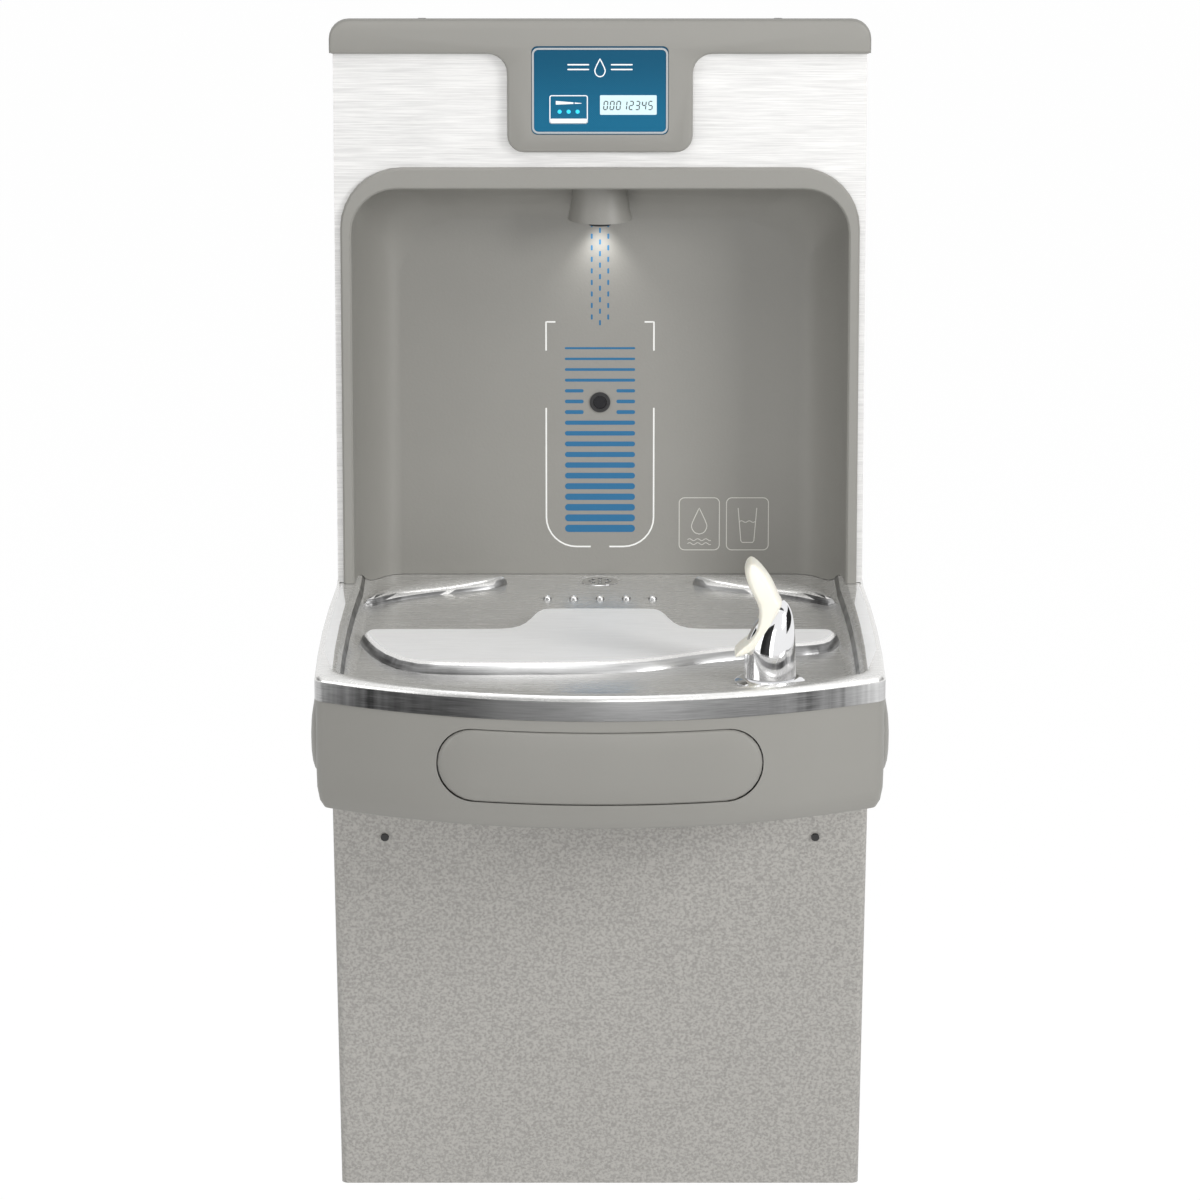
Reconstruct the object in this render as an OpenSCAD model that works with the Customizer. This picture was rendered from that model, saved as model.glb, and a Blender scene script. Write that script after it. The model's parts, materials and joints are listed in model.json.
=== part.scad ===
// Wall-hung bottle filling station with a drinking basin, bubbler and refrigerated cabinet.
// Millimetres. X runs right, Y runs back into the wall, Z runs up.
// The wall plane is Y = 0 and the origin is the centre of the four wall bolts.

/* [Overall] */
// Height from the cabinet's underside to the top of the cap
overall_h = 1001.7; // [960:0.1:1050]
// Width of the cabinet and of the steel panel above the basin
body_w = 443; // [425:1:460]
// Distance from the wall to the face of the steel panel
filler_d = 112; // [104:1:125]
// Height of the basin's rim above the cabinet's underside
rim_z = 520.5; // [505:0.5:540]

/* [Basin] */
// Distance from the wall to the front of the rim
reach = 482.2; // [465:0.1:500]
// How much wider the rim is than the steel panel, both sides together
rim_over = 16; // [8:1:30]
// Radius of the bowed front
front_bow_r = 440; // [410:1:480]
// Radius of the two front corners
deck_corner_r = 14; // [10:1:22]
// Height of the steel skirt under the rim
skirt_h = 21; // [17:1:26]
// Depth of the bowl below the rim
bowl_depth = 17; // [14:0.5:20]
// Thickness of the pressed steel
basin_t = 1.4; // [1.1:0.1:1.8]
// Height of the raised splash platform in the bowl
platform_h = 9; // [6:0.5:11]

/* [Apron and push bars] */
// Height of the moulded apron
apron_h = 91.5; // [84:0.5:100]
// Wall thickness of the moulded plastic
plastic_t = 2.6; // [2.2:0.1:3.2]
// Length of the front push bar
front_bar_l = 259; // [230:1:280]
// Height of all three push bars
bar_h = 59; // [52:1:64]
// Length of each side push bar
side_bar_l = 205; // [180:1:220]
// How far a push bar travels
bar_travel = 5; // [3:0.5:6]

/* [Cap and display] */
// Width of the cap
cap_w = 449; // [447:1:468]
// Height of the cap's side band
cap_h = 29; // [24:1:34]
// Width of the display bezel
bezel_w = 154; // [140:1:170]
// Drop of the bezel below the top of the cap
bezel_h = 111.7; // [104:0.1:118]
// Width of the display
display_w = 113.8; // [100:0.1:120]
// Height of the display
display_h = 74.3; // [66:0.1:78]

/* [Alcove] */
// Width over the alcove's flange
arch_w = 433; // [415:1:436]
// Drop from the top of the cap to the top of the alcove's flange
arch_drop = 125; // [122:0.5:132]
// Outer corner radius of the flange
arch_r = 51; // [40:1:60]
// Distance from the wall to the alcove's back wall
alcove_back = 14; // [13:0.5:18]
// Run of the hollow curve between the sides and the back wall
cove_run = 38; // [30:1:44]
// Radius of the nozzle housing at its lower edge
housing_r = 27; // [25:0.5:30]
// Drop from the alcove's inner top to the nozzle housing's lower edge
housing_drop = 40; // [34:1:48]
// Height of the bottle sensor as a share of the alcove's height
sensor_share = 0.3977; // [0.3:0.01:0.5]

/* [Cabinet] */
// Depth of the shroud at its foot
shroud_bottom_d = 155; // [148:1:175]
// Depth of the shroud under the apron
shroud_top_d = 281; // [265:1:300]
// Corner radius of the shroud
shroud_r = 6; // [4:0.5:9]
// Thickness of the cabinet's sheet steel
sheet_t = 1.2; // [0.9:0.1:1.5]

/* [Bubbler] */
// Distance of the bubbler from the side of the rim
bubbler_in = 92.5; // [85:0.5:105]
// Distance of the bubbler from the front of the rim
bubbler_back = 108.2; // [100:0.1:118]
// Diameter of the bubbler's foot
bubbler_foot_d = 57; // [50:1:60]

/* [Mounts] */
// Height of the wall bolts' centre above the cabinet's underside
mount_z = 335; // [325:1:345]
// Spacing of the wall bolts across
mount_dx = 380; // [360:1:390]
// Spacing of the wall bolts up and down
mount_dz = 240; // [225:1:250]
// Diameter of the wall bolt holes
mount_hole_d = 8.8; // [6.6:0.1:10]
// Outside diameter of the waste tailpiece
waste_d = 31.75; // [28:0.05:34]
// Outside diameter of the water inlet tube
inlet_d = 9.525; // [8:0.005:12.7]

/* [Hidden] */
$fn = 48;

over = 1;
gap = 0.3;
run_gap = 0.05;
eps = 0.01;
lap = 0.5;

// Colours as the photograph shows them
grey_plastic = [0.60, 0.59, 0.56];
steel = [0.80, 0.80, 0.80];
vinyl = [0.66, 0.65, 0.63];
zinc = [0.74, 0.75, 0.76];
black = [0.08, 0.08, 0.08];
chrome = [0.88, 0.88, 0.90];
ivory = [0.93, 0.90, 0.80];
blue = [0.05, 0.38, 0.58];
copper = [0.80, 0.47, 0.30];
white = [0.90, 0.90, 0.90];
green = [0.10, 0.35, 0.20];

// Widths and depths that follow from the sizes above
deck_w = body_w + rim_over;
bubbler_x = deck_w / 2 - bubbler_in;
bubbler_y = reach - bubbler_back;

// Levels, measured up from the cabinet's underside
skirt_z = rim_z - skirt_h;
apron_top = skirt_z - gap;
apron_z = apron_top - apron_h;
floor_z = rim_z - bowl_depth;
floor_under = floor_z - basin_t;
shroud_top = apron_z + 3.8;
cap_z = overall_h - cap_h;
arch_top = overall_h - arch_drop;

// An arc as a list of points
function arc_pts(c, r, a0, a1, n) =
    [for (i = [0:n]) [c[0] + r * cos(a0 + (a1 - a0) * i / n), c[1] + r * sin(a0 + (a1 - a0) * i / n)]];

function mirrored_x(pts) = [for (i = [len(pts) - 1:-1:0]) [-pts[i][0], pts[i][1]]];
function but_last(pts) = [for (i = [0:len(pts) - 2]) pts[i]];
function reversed(pts) = [for (i = [len(pts) - 1:-1:0]) pts[i]];
function at_z(pts, z) = [for (p = pts) [p[0], p[1], z]];
function at_y(pts, y) = [for (p = pts) [p[0], y, p[1]]];

// A solid through a row of outlines that all have the same number of points.
// The end faces are one polygon each, or the strips that are given for a hollow outline
module loft(rings, strips) {
    n = len(rings[0]);
    m = len(rings);
    ends = is_undef(strips) ? [[for (i = [0:n - 1]) i]] : strips;
    sides = [
        for (k = [0:m - 2], i = [0:n - 1], t = [0:1])
            let (j = (i + 1) % n, q = k + 1)
            t == 0 ? [k * n + i, k * n + j, q * n + j] : [k * n + i, q * n + j, q * n + i]
    ];
    first = [for (f = ends) reversed(f)];
    last = [for (f = ends) [for (v = f) (m - 1) * n + v]];
    points = [for (r = rings) each r];
    faces = concat(sides, first, last);
    polyhedron(points = points, faces = faces_volume(points, faces) < 0 ? faces : [for (f = faces) reversed(f)]);
}
// Six times the volume that the faces enclose: its sign tells which way they look
function faces_volume(p, faces) =
    let (v = [for (f = faces, i = [1:len(f) - 2]) p[f[0]] * cross(p[f[i]], p[f[i + 1]])])
    v * [for (x = v) 1];
// Strips between each point and its partner across the outline; where a step is level,
// the strip before it takes its points in
function strips_of(n, level = -1) = [
    for (k = [0:ceil(n / 2) - 2])
        if (k != level)
            k + 1 == level ? [k, k + 1, k + 2, n - 3 - k, n - 2 - k, n - 1 - k] :
            k + 1 == n - 2 - k ? [k, k + 1, n - 1 - k] : [k, k + 1, n - 2 - k, n - 1 - k]
];

// A closed smooth loop through a few points
function spline_loop(p, m) =
    let (n = len(p))
    [
        for (i = [0:n - 1], k = [0:m - 1])
            let (
                a = p[(i + n - 1) % n],
                b = p[i],
                c = p[(i + 1) % n],
                d = p[(i + 2) % n],
                t = k / m
            )
            0.5 * (2 * b + (c - a) * t + (2 * a - 5 * b + 4 * c - d) * t * t + (3 * b - a - 3 * c + d) * t * t * t)
    ];

// The same loop drawn in by a distance along its own normals
function drawn_in(p, d) =
    let (n = len(p))
    [
        for (i = [0:n - 1])
            let (t = p[(i + 1) % n] - p[(i + n - 1) % n])
            p[i] + d * [t[1], -t[0]] / norm(t)
    ];

// A long loop drawn towards its own middle line by the share s, and shortened by the share k of that
function ridge_ring(p, s, k) =
    let (n = len(p), c = (p[0] + p[floor(n / 2)]) / 2)
    [
        for (i = [0:n - 1])
            let (m = (p[i] + p[(n - i) % n]) / 2)
            c + (1 - k * s) * (m - c) + (1 - s) * (p[i] - m)
    ];

// Strips across the end face of such a loop
function ridge_strips(n) = [
    for (k = [0:floor(n / 2) - 1])
        k == 0 ? [0, 1, n - 1] : k + 1 == n - k - 1 ? [k, k + 1, n - k] : [k, k + 1, n - k - 1, n - k]
];

// A smooth curve through points that run along x
function slope_at(p, i) =
    let (a = p[max(i - 1, 0)], b = p[min(i + 1, len(p) - 1)])
    (b[1] - a[1]) / (b[0] - a[0]);
function curve_at(p, x, i = 0) =
    i < len(p) - 2 && x > p[i + 1][0] ? curve_at(p, x, i + 1) :
    let (a = p[i], b = p[i + 1], h = b[0] - a[0], t = (x - a[0]) / h, u = 1 - t)
    u * u * (1 + 2 * t) * a[1] + t * t * (3 - 2 * t) * b[1] + h * t * u * (u * slope_at(p, i) - t * slope_at(p, i + 1));

// A bent tube: straight runs with a round bend at each inner point
bend_steps = 5;
function bend_path(p, r) =
    let (n = len(p))
    [
        for (i = [0:n - 1])
            each (i == 0 || i == n - 1) ? [p[i]] :
                let (
                    u = p[i - 1] - p[i],
                    v = p[i + 1] - p[i],
                    a = p[i] + u / norm(u) * min(r, norm(u) * 0.45),
                    c = p[i] + v / norm(v) * min(r, norm(v) * 0.45)
                )
                [for (k = [0:bend_steps]) let (t = k / bend_steps) (1 - t) * (1 - t) * a + 2 * t * (1 - t) * p[i] + t * t * c]
    ];
function unit(v) = v / norm(v);
function tangent_at(p, i) = unit(p[min(i + 1, len(p) - 1)] - p[max(i - 1, 0)]);
function square_to(v, t) = unit(v - (v * t) * t);
function side_axes(p, first) = [
    for (i = 0, s = square_to(first, tangent_at(p, 0)); i < len(p);
        i = i + 1, s = i < len(p) ? square_to(s, tangent_at(p, i)) : s)
        s
];
tube_sides = 8;
module tube(points, r, bend, first = [0.31, 0.87, 0.38]) {
    p = bend_path(points, bend);
    s = side_axes(p, first);
    rings = [
        for (i = [0:len(p) - 1])
            let (b = cross(tangent_at(p, i), s[i]))
            [for (k = [0:tube_sides - 1]) let (a = -360 * k / tube_sides) p[i] + r * (cos(a) * s[i] + sin(a) * b)]
    ];
    loft(rings);
}

// A plate with round corners, lying in the plane of X and Y
module round_plate(w, h, r, t) {
    linear_extrude(t) round_rect(w, h, r);
}
module round_rect(w, h, r) {
    square([w - 2 * r, h], center = true);
    square([w, h - 2 * r], center = true);
    for (sx = [-1, 1], sy = [-1, 1])
        translate([sx * (w / 2 - r), sy * (h / 2 - r)]) circle(r);
}
// Extrudes a drawing of X and Z from the depth y0 forward to y1
module along_y(y0, y1) {
    translate([0, max(y0, y1), 0]) rotate([90, 0, 0]) linear_extrude(abs(y1 - y0)) children();
}
// Extrudes a drawing of Y and Z between two places across the width
module along_x(x0, x1) {
    translate([min(x0, x1), 0, 0]) rotate([90, 0, 90]) linear_extrude(abs(x1 - x0)) children();
}
// A box between two corners
module block(a, b) {
    translate([min(a[0], b[0]), min(a[1], b[1]), min(a[2], b[2])])
        cube([abs(b[0] - a[0]), abs(b[1] - a[1]), abs(b[2] - a[2])]);
}
// A cylinder along Y from y0 forward to y1, and one along X
module rod_y(x, z, r, y0, y1) {
    translate([x, max(y0, y1), z]) rotate([90, 0, 0]) cylinder(r = r, h = abs(y1 - y0));
}
module rod_x(y, z, r, x0, x1) {
    translate([min(x0, x1), y, z]) rotate([0, 90, 0]) cylinder(r = r, h = abs(x1 - x0));
}
module both_sides() {
    children();
    mirror([1, 0, 0]) children();
}
module placed() {
    translate([0, 0, -mount_z]) children();
}

// Outline of the deck seen from above, drawn in by t: straight beside the panel,
// then a slow bow to the widest place, a corner and the bowed front
deck_back_w = body_w + 3;
wide_share = 0.7051;
wide_y = wide_share * reach;
side_bow = (deck_w - deck_back_w) / 2;
side_run = wide_y - filler_d;
side_r = (side_run * side_run + side_bow * side_bow) / (2 * side_bow);
side_c = [deck_w / 2 - side_r, -wide_y];
front_c = [0, -reach + front_bow_r];
to_side = front_c - side_c;
span_c = norm(to_side);
axis_f = -to_side / span_c;
deck_back_y = 30;
side_steps = 4;
corner_steps = 5;
front_steps = 11;
ang_start = asin(side_run / side_r);
least_corner = 3;
function corner_of(t) = max(deck_corner_r - t, least_corner);
function corner_at(t, rc) =
    let (
        arm_f = front_bow_r - t - rc,
        arm_s = side_r - t - rc,
        foot = (arm_f * arm_f - arm_s * arm_s + span_c * span_c) / (2 * span_c),
        rise = sqrt(arm_f * arm_f - foot * foot)
    )
    front_c + foot * axis_f + rise * [-axis_f[1], axis_f[0]];
function deck_half(t, rc) =
    let (
        c = corner_at(t, rc),
        ds = c - side_c,
        df = c - front_c,
        a_s = atan2(ds[1], ds[0]),
        a_f = atan2(df[1], df[0])
    )
    concat(
        [[deck_back_w / 2 - t, deck_back_y - t]],
        but_last(arc_pts(side_c, side_r - t, ang_start, a_s, side_steps)),
        but_last(arc_pts(c, rc, a_s, a_f, corner_steps)),
        arc_pts(front_c, front_bow_r - t, a_f, -90, front_steps)
    );
function deck_pts(t, rc) =
    let (h = deck_half(t, is_undef(rc) ? corner_of(t) : rc), last = len(h) - 1)
    concat(h, [for (i = [last - 1:-1:0]) [-h[i][0], h[i][1]]]);
function front_y(x, r) = front_c[1] - sqrt(r * r - x * x);

// Section of the rim and the bowl: distance in from the deck's outline, height from the rim
land_in = 14;
bowl_run = 18;
bowl_corner_r = 18;
bowl_shares = [[0, 0], [0.17, -0.06], [0.34, -0.3], [0.48, -0.65], [0.7, -0.9], [1, -1]];
bowl_last = len(bowl_shares) - 1;
function bowl_in(k) = land_in + bowl_run * bowl_shares[k][0];
function bowl_at(k) = rim_z + bowl_depth * bowl_shares[k][1];
skirt_round = 5;
function rim_ring(t, a) =
    at_z(deck_pts(t + (skirt_round - t) * (1 - cos(a))), rim_z - skirt_round + (skirt_round - t) * sin(a));

// Outline of the alcove seen from the front: two posts and a top with round corners
arch_steps = 8;
arch_foot = 60;
function arch_pts(hw, top, r) =
    let (h = concat([[hw, rim_z - arch_foot - hw / 9]], arc_pts([hw - r, top - r], r, 0, 90, arch_steps)))
    concat(h, mirrored_x(h));

// Outline of the cap seen from the front, drawn in by t
cap_r = 16.5;
cap_foot_r = 3;
bezel_fillet = 16.5;
bezel_r = 14;
function cap_half(t) = concat(
    arc_pts([cap_w / 2 - cap_r, overall_h - cap_r], cap_r - t, 90, 0, 6),
    arc_pts([cap_w / 2 - cap_foot_r, cap_z + cap_foot_r], cap_foot_r - t, 0, -90, 3),
    arc_pts([bezel_w / 2 + bezel_fillet, cap_z - bezel_fillet], bezel_fillet + t, 90, 180, 6),
    arc_pts([bezel_w / 2 - bezel_r, overall_h - bezel_h + bezel_r], bezel_r - t, 0, -90, 6)
);
cap_level = 10;
function cap_pts(t) = concat(cap_half(t), mirrored_x(cap_half(t)));

// Outline of a push bar, as matching points along its lower and its upper edge
bar_steps = 26;
function bar_x(l, h, k) =
    let (n = 6, c = l / 2 - h / 2)
    k < n ? -c - h / 2 * cos(90 * k / n) :
    k > bar_steps - n ? c + h / 2 * cos(90 * (bar_steps - k) / n) :
    -c + 2 * c * (k - n) / (bar_steps - 2 * n);
function bar_z(l, h, k) =
    let (n = 6)
    k < n ? h / 2 * sin(90 * k / n) :
    k > bar_steps - n ? h / 2 * sin(90 * (bar_steps - k) / n) :
    h / 2;
function bar_ring(l, h) = concat(
    [for (k = [0:bar_steps]) [bar_x(l, h, k), -bar_z(l, h, k)]],
    [for (k = [bar_steps - 1:-1:1]) [bar_x(l, h, k), bar_z(l, h, k)]]
);
bar_strips = [for (k = [0:bar_steps - 1], n = 2 * bar_steps) [k, k + 1, (n - k - 1) % n, (n - k) % n]];

// The shroud's sloping front
function shroud_y(z) = -(shroud_bottom_d + (shroud_top_d - shroud_bottom_d) * z / apron_z);
cab_in = body_w / 2 - sheet_t - gap;
shroud_slope = atan((shroud_top_d - shroud_bottom_d) / apron_z);
// The seat of a shroud screw, square to the sloping front, with the outside at zero
module at_shroud_screw() {
    translate([shroud_screw_x, shroud_y(shroud_screw_z), shroud_screw_z]) rotate([shroud_slope, 0, 0]) children();
}

// Wall plate of the cabinet, with turned sides, four bolt holes and the plumbing opening
panel_t = 1.5;
panel_flange = 14;
plumb_w = 150;
plumb_h = 120;
plumb_drop = 15;
module back_panel() {
    color(zinc) placed() difference() {
        union() {
            block([-cab_in, -panel_t, 0], [cab_in, 0, floor_under - gap]);
            both_sides() block([cab_in - panel_t, -panel_flange, 0], [cab_in, 0, floor_under - gap]);
        }
        for (sx = [-1, 1], sz = [-1, 1])
            rod_y(sx * mount_dx / 2, mount_z + sz * mount_dz / 2, mount_hole_d / 2, over, -panel_t - over);
        rod_y(union_x, union_mid, inlet_hole_r, over, -panel_t - over);
        block([-plumb_w / 2, over, mount_z - plumb_drop - plumb_h / 2],
            [plumb_w / 2, -panel_t - over, mount_z - plumb_drop + plumb_h / 2]);
    }
}

// Chassis: two side plates with a shelf for the basin, a rail under the basin and a rail for the shroud
side_plate_gap = 9.5;
side_plate_x = body_w / 2 - side_plate_gap;
side_plate_t = 1.5;
side_plate_in = 74.2;
side_plate_y = reach - side_plate_in;
side_plate_low = 300;
side_plate_hole = [[-180, 350], [-60, 470]];
shelf_w = 30;
shelf_back = 45;
shelf_t = 1.5;
rail_y = 200;
rail_h = 11;
rail_w = 22;
screw_rail_low = 325;
screw_rail_high = 356;
screw_rail_t = 1.8;
side_bar_in = 182.2;
side_bar_y = reach - side_bar_in;
stem_r = 4.5;
stem_pitch = 124;
plunger_r = 2;
bar_drop = 39.5;
bar_z = skirt_z - bar_drop;
module cabinet_frame() {
    top = floor_under - gap;
    face = sheet_t + 2 * gap;
    color(zinc) placed() difference() {
        union() {
            both_sides() {
                along_x(side_plate_x - side_plate_t, side_plate_x) polygon([
                    [-panel_t - gap, side_plate_low],
                    [shroud_y(screw_rail_low) + face, screw_rail_low],
                    [shroud_y(shroud_top) + face, shroud_top + gap],
                    [-side_plate_y, shroud_top + bar_drop / 3],
                    [-side_plate_y, top],
                    [-panel_t - gap, top]
                ]);
                block([side_plate_x - shelf_w, -side_plate_y, top - shelf_t], [side_plate_x, -shelf_back, top]);
            }
            block([-side_plate_x, -rail_y - rail_w, top - rail_h], [side_plate_x, -rail_y, top]);
            along_x(-side_plate_x, side_plate_x) polygon([
                [shroud_y(screw_rail_low) + face, screw_rail_low],
                [shroud_y(screw_rail_high) + face, screw_rail_high],
                [shroud_y(screw_rail_high) + face + screw_rail_t, screw_rail_high],
                [shroud_y(screw_rail_low) + face + screw_rail_t, screw_rail_low]
            ]);
        }
        block([-side_plate_x + side_plate_t, -rail_y - rail_w + shelf_t, top - rail_h - over],
            [side_plate_x - side_plate_t, -rail_y - shelf_t, top - shelf_t]);
        along_x(-body_w / 2, body_w / 2)
            translate(side_plate_hole[0]) square(side_plate_hole[1] - side_plate_hole[0]);
        for (s = [-1, 1])
            rod_x(-side_bar_y + s * stem_pitch / 2, bar_z, stem_r + run_gap, -body_w / 2, body_w / 2);
        rod_x(-side_bar_y, bar_z, plunger_r + gap, -body_w / 2, body_w / 2);
        both_sides() at_shroud_screw() rod_y(0, 0, screw_r + gap, screw_pass, -over);
    }
}

// Pan under the cabinet, with turned edges and a hole for the power gland
pan_t = 1.5;
pan_lip = 12;
gland_x = 60;
gland_y = 32;
gland_r = 12;
pan_slot = [90, 5];
pan_slot_r = 1.5;
pan_pitch = 14;
module bottom_plate() {
    w = cab_in - panel_t - gap;
    d = shroud_bottom_d - sheet_t - 5 * gap;
    color(zinc) placed() difference() {
        union() {
            block([-w, -d, 0], [w, -panel_t - gap, pan_t]);
            block([-w, -d, 0], [w, -d + pan_t, pan_lip]);
            both_sides() block([w - pan_t, -d, 0], [w, -panel_flange - gap, pan_lip]);
        }
        translate([gland_x, -gland_y, -over]) cylinder(r = gland_r + gap, h = pan_t + 2 * over);
        for (i = [0:3])
            translate([comp_x, -d / 2 + (i - 1.5) * pan_pitch, -over])
                round_plate(pan_slot[0], pan_slot[1], pan_slot_r, pan_t + 2 * over);
    }
}

// Vinyl-clad shroud: sloping front and two sides bent from one sheet
shroud_screw_in = 42.9;
shroud_screw_drop = 67.5;
shroud_screw_x = body_w / 2 - shroud_screw_in;
shroud_screw_z = apron_z - shroud_screw_drop;
screw_r = 2;
screw_head_r = 3.4;
screw_head_h = 1.6;
screw_pass = 8;
louvre = [84, 5];
louvre_pitch = 13;
louvre_low = 42;
louvres = 11;
// Section across the sloping front: the outside and the inside of the bent sheet
module shroud_section(t) {
    w = body_w / 2 - t;
    r = shroud_r - t;
    translate([-w, t + r]) square([2 * w, shroud_top_d]);
    translate([-w + r, t]) square([2 * (w - r), shroud_top_d]);
    for (s = [-1, 1]) translate([s * (w - r), t + r]) circle(r);
}
module lower_shroud() {
    color(vinyl) placed() difference() {
        intersection() {
            translate([0, shroud_y(0), 0]) rotate([shroud_slope, 0, 0])
                translate([0, 0, -shroud_top_d]) linear_extrude(2 * overall_h) difference() {
                    shroud_section(0);
                    shroud_section(sheet_t);
                }
            along_x(-body_w, body_w) polygon([
                [-gap, 0], [-gap, shroud_top], [shroud_y(shroud_top) - over, shroud_top], [shroud_y(0) - over, 0]
            ]);
        }
        both_sides() at_shroud_screw() rod_y(0, 0, screw_r + gap, screw_pass, -over);
        for (i = [0:louvres - 1])
            translate([-body_w / 2 - over, -shroud_bottom_d / 2 - louvre[0] / 2, louvre_low + i * louvre_pitch])
                cube([body_w + 2 * over, louvre[0], louvre[1]]);
    }
}
module shroud_screws() {
    color(black) placed() both_sides() at_shroud_screw() {
        rod_y(0, 0, screw_r, screw_pass - over, -gap);
        rod_y(0, 0, screw_head_r, -gap, -gap - screw_head_h);
    }
}

// Pressed steel basin: skirt, rolled rim, bowl, splash platform, bottle studs and drain seat
drain_y = 36;
drain_hole_r = 13;
drain_seat_r = 15.8;
drain_dish_r = 20;
drain_dish = 2.2;
drain_boss_r = 24;
drain_boss_t = 5.5;
stud_r = 3.8;
stud_pitch = 22.3;
stud_y = 102;
tube_r = 3.2;
riser = [-200, -22];
upstand_t = 1.4;
upstand_y = 6;
platform_rear = [
    [-0.935, 0.512], [-0.925, 0.497], [-0.905, 0.486], [-0.87, 0.481], [-0.6, 0.479], [-0.4, 0.478], [-0.355, 0.472],
    [-0.325, 0.452], [-0.3, 0.415], [-0.278, 0.375], [-0.25, 0.35], [-0.2, 0.339], [0, 0.337]
];
platform_front = [
    [-0.935, 0.52], [-0.925, 0.54], [-0.9, 0.582], [-0.86, 0.632], [-0.81, 0.675], [-0.75, 0.706], [-0.68, 0.723],
    [-0.5, 0.731], [-0.3, 0.731], [-0.1, 0.728], [0.05, 0.721], [0.2, 0.703], [0.42, 0.652], [0.62, 0.617],
    [0.8, 0.6], [0.87, 0.586], [0.905, 0.566], [0.925, 0.541], [0.935, 0.52]
];
platform_at = [
    -0.935, -0.925, -0.905, -0.88, -0.84, -0.78, -0.7, -0.6, -0.5, -0.43, -0.39, -0.36, -0.34, -0.32, -0.3, -0.285,
    -0.27, -0.25, -0.225, -0.19, -0.14, -0.07
];
platform_steps = [[0, -0.05], [0.12, 0.2], [0.55, 0.78], [1, 1]];
platform_slope = 7;
platform_w = deck_w / 2 - land_in - 3;
swell_pts = [
    [199, -128], [171, -108], [145, -92], [122, -81], [104, -72], [90, -64],
    [79, -50], [92, -38], [112, -37], [137, -41], [162, -54], [184, -78]
];
swell_steps = [[0, -0.06], [0.1, 0.34], [0.3, 0.74], [0.56, 0.95], [0.8, 1]];
swell_short = 0.14;
swell_h = 8;
module rear_swell() {
    loop = spline_loop(swell_pts, 3);
    loft([for (s = swell_steps) at_z(ridge_ring(loop, s[0], swell_short), floor_z + swell_h * s[1])], ridge_strips(len(loop)));
}
platform_all = concat(platform_at, [0], [for (i = [len(platform_at) - 1:-1:0]) -platform_at[i]]);
function platform_loop() = [
    for (x = platform_all) [x * platform_w, -curve_at(platform_rear, -abs(x)) * reach],
    for (x = platform_all) [-x * platform_w, -curve_at(platform_front, -x) * reach]
];
module basin() {
    floor_ring = bowl_last;
    top_rings = [for (k = [floor_ring:-1:0]) at_z(deck_pts(bowl_in(k), bowl_corner_r), bowl_at(k))];
    rim_rings = [for (a = [90, 55, 25, 0]) rim_ring(0, a)];
    under_rim = [
        at_z(deck_pts(0), skirt_z),
        at_z(deck_pts(basin_t), skirt_z),
        at_z(deck_pts(basin_t), rim_z - skirt_round),
        at_z(deck_pts(skirt_round), rim_z - basin_t)
    ];
    under_rings = [
        for (k = [0:floor_ring]) at_z(deck_pts(bowl_in(k) - basin_t, bowl_corner_r), bowl_at(k) - basin_t)
    ];
    loop = platform_loop();
    color(steel) placed() difference() {
        union() {
            difference() {
                loft(concat(top_rings, rim_rings, under_rim, under_rings), strips_of(len(deck_pts(0))));
                block([-deck_w, -upstand_y, floor_under - drain_boss_t], [deck_w, deck_back_y + over, rim_z + over]);
            }
            loft([
                for (s = platform_steps)
                    at_z(reversed(drawn_in(loop, platform_slope * s[0])), floor_z + platform_h * s[1])
            ], strips_of(len(loop)));
            rear_swell();
            mirror([1, 0, 0]) rear_swell();
            for (i = [-2:2]) translate([i * stud_pitch, -stud_y, floor_z]) sphere(stud_r);
            translate([0, -drain_y, floor_z - drain_boss_t]) cylinder(r = drain_boss_r, h = drain_boss_t - eps);
            block([bowl_run + land_in - deck_back_w / 2, -upstand_y - upstand_t, floor_under],
                [deck_back_w / 2 - bowl_run - land_in, -upstand_y, rim_z - 2 * basin_t]);
        }
        translate([0, -drain_y, floor_z - drain_dish])
            cylinder(r1 = drain_seat_r, r2 = drain_dish_r, h = drain_dish + eps);
        translate([0, -drain_y, floor_z - 2 * drain_boss_t]) cylinder(r = drain_hole_r, h = 2 * drain_boss_t);
        translate([bubbler_x, -bubbler_y, floor_under - over]) cylinder(r = shank_r + gap, h = 3 * basin_t);
        translate([riser[0], riser[1], floor_under - over]) cylinder(r = tube_r + 2 * gap, h = rim_z - floor_under);
    }
}

// Drain: strainer, body with tailpiece, and its nut
strainer_t = 1.6;
strainer_hole_r = 1.7;
strainer_ring = 8.2;
tail_len = 104;
tail_wall = 1.5;
nut_h = 11;
nut_r = 26;
module drain_strainer() {
    color(chrome) placed() translate([0, -drain_y, floor_z - drain_dish + gap / 2]) difference() {
        union() {
            cylinder(r = drain_seat_r - gap, h = strainer_t);
            translate([0, 0, -drain_boss_t / 2]) cylinder(r = drain_hole_r - gap, h = drain_boss_t / 2 + eps);
        }
        translate([0, 0, -drain_boss_t]) cylinder(r = drain_hole_r - strainer_t, h = drain_boss_t);
        for (i = [0:7])
            rotate(i * 45) translate([strainer_ring, 0, -over]) cylinder(r = strainer_hole_r, h = 2 * strainer_t + over);
        translate([0, 0, -over]) cylinder(r = strainer_hole_r, h = 2 * strainer_t + over);
    }
}
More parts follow.
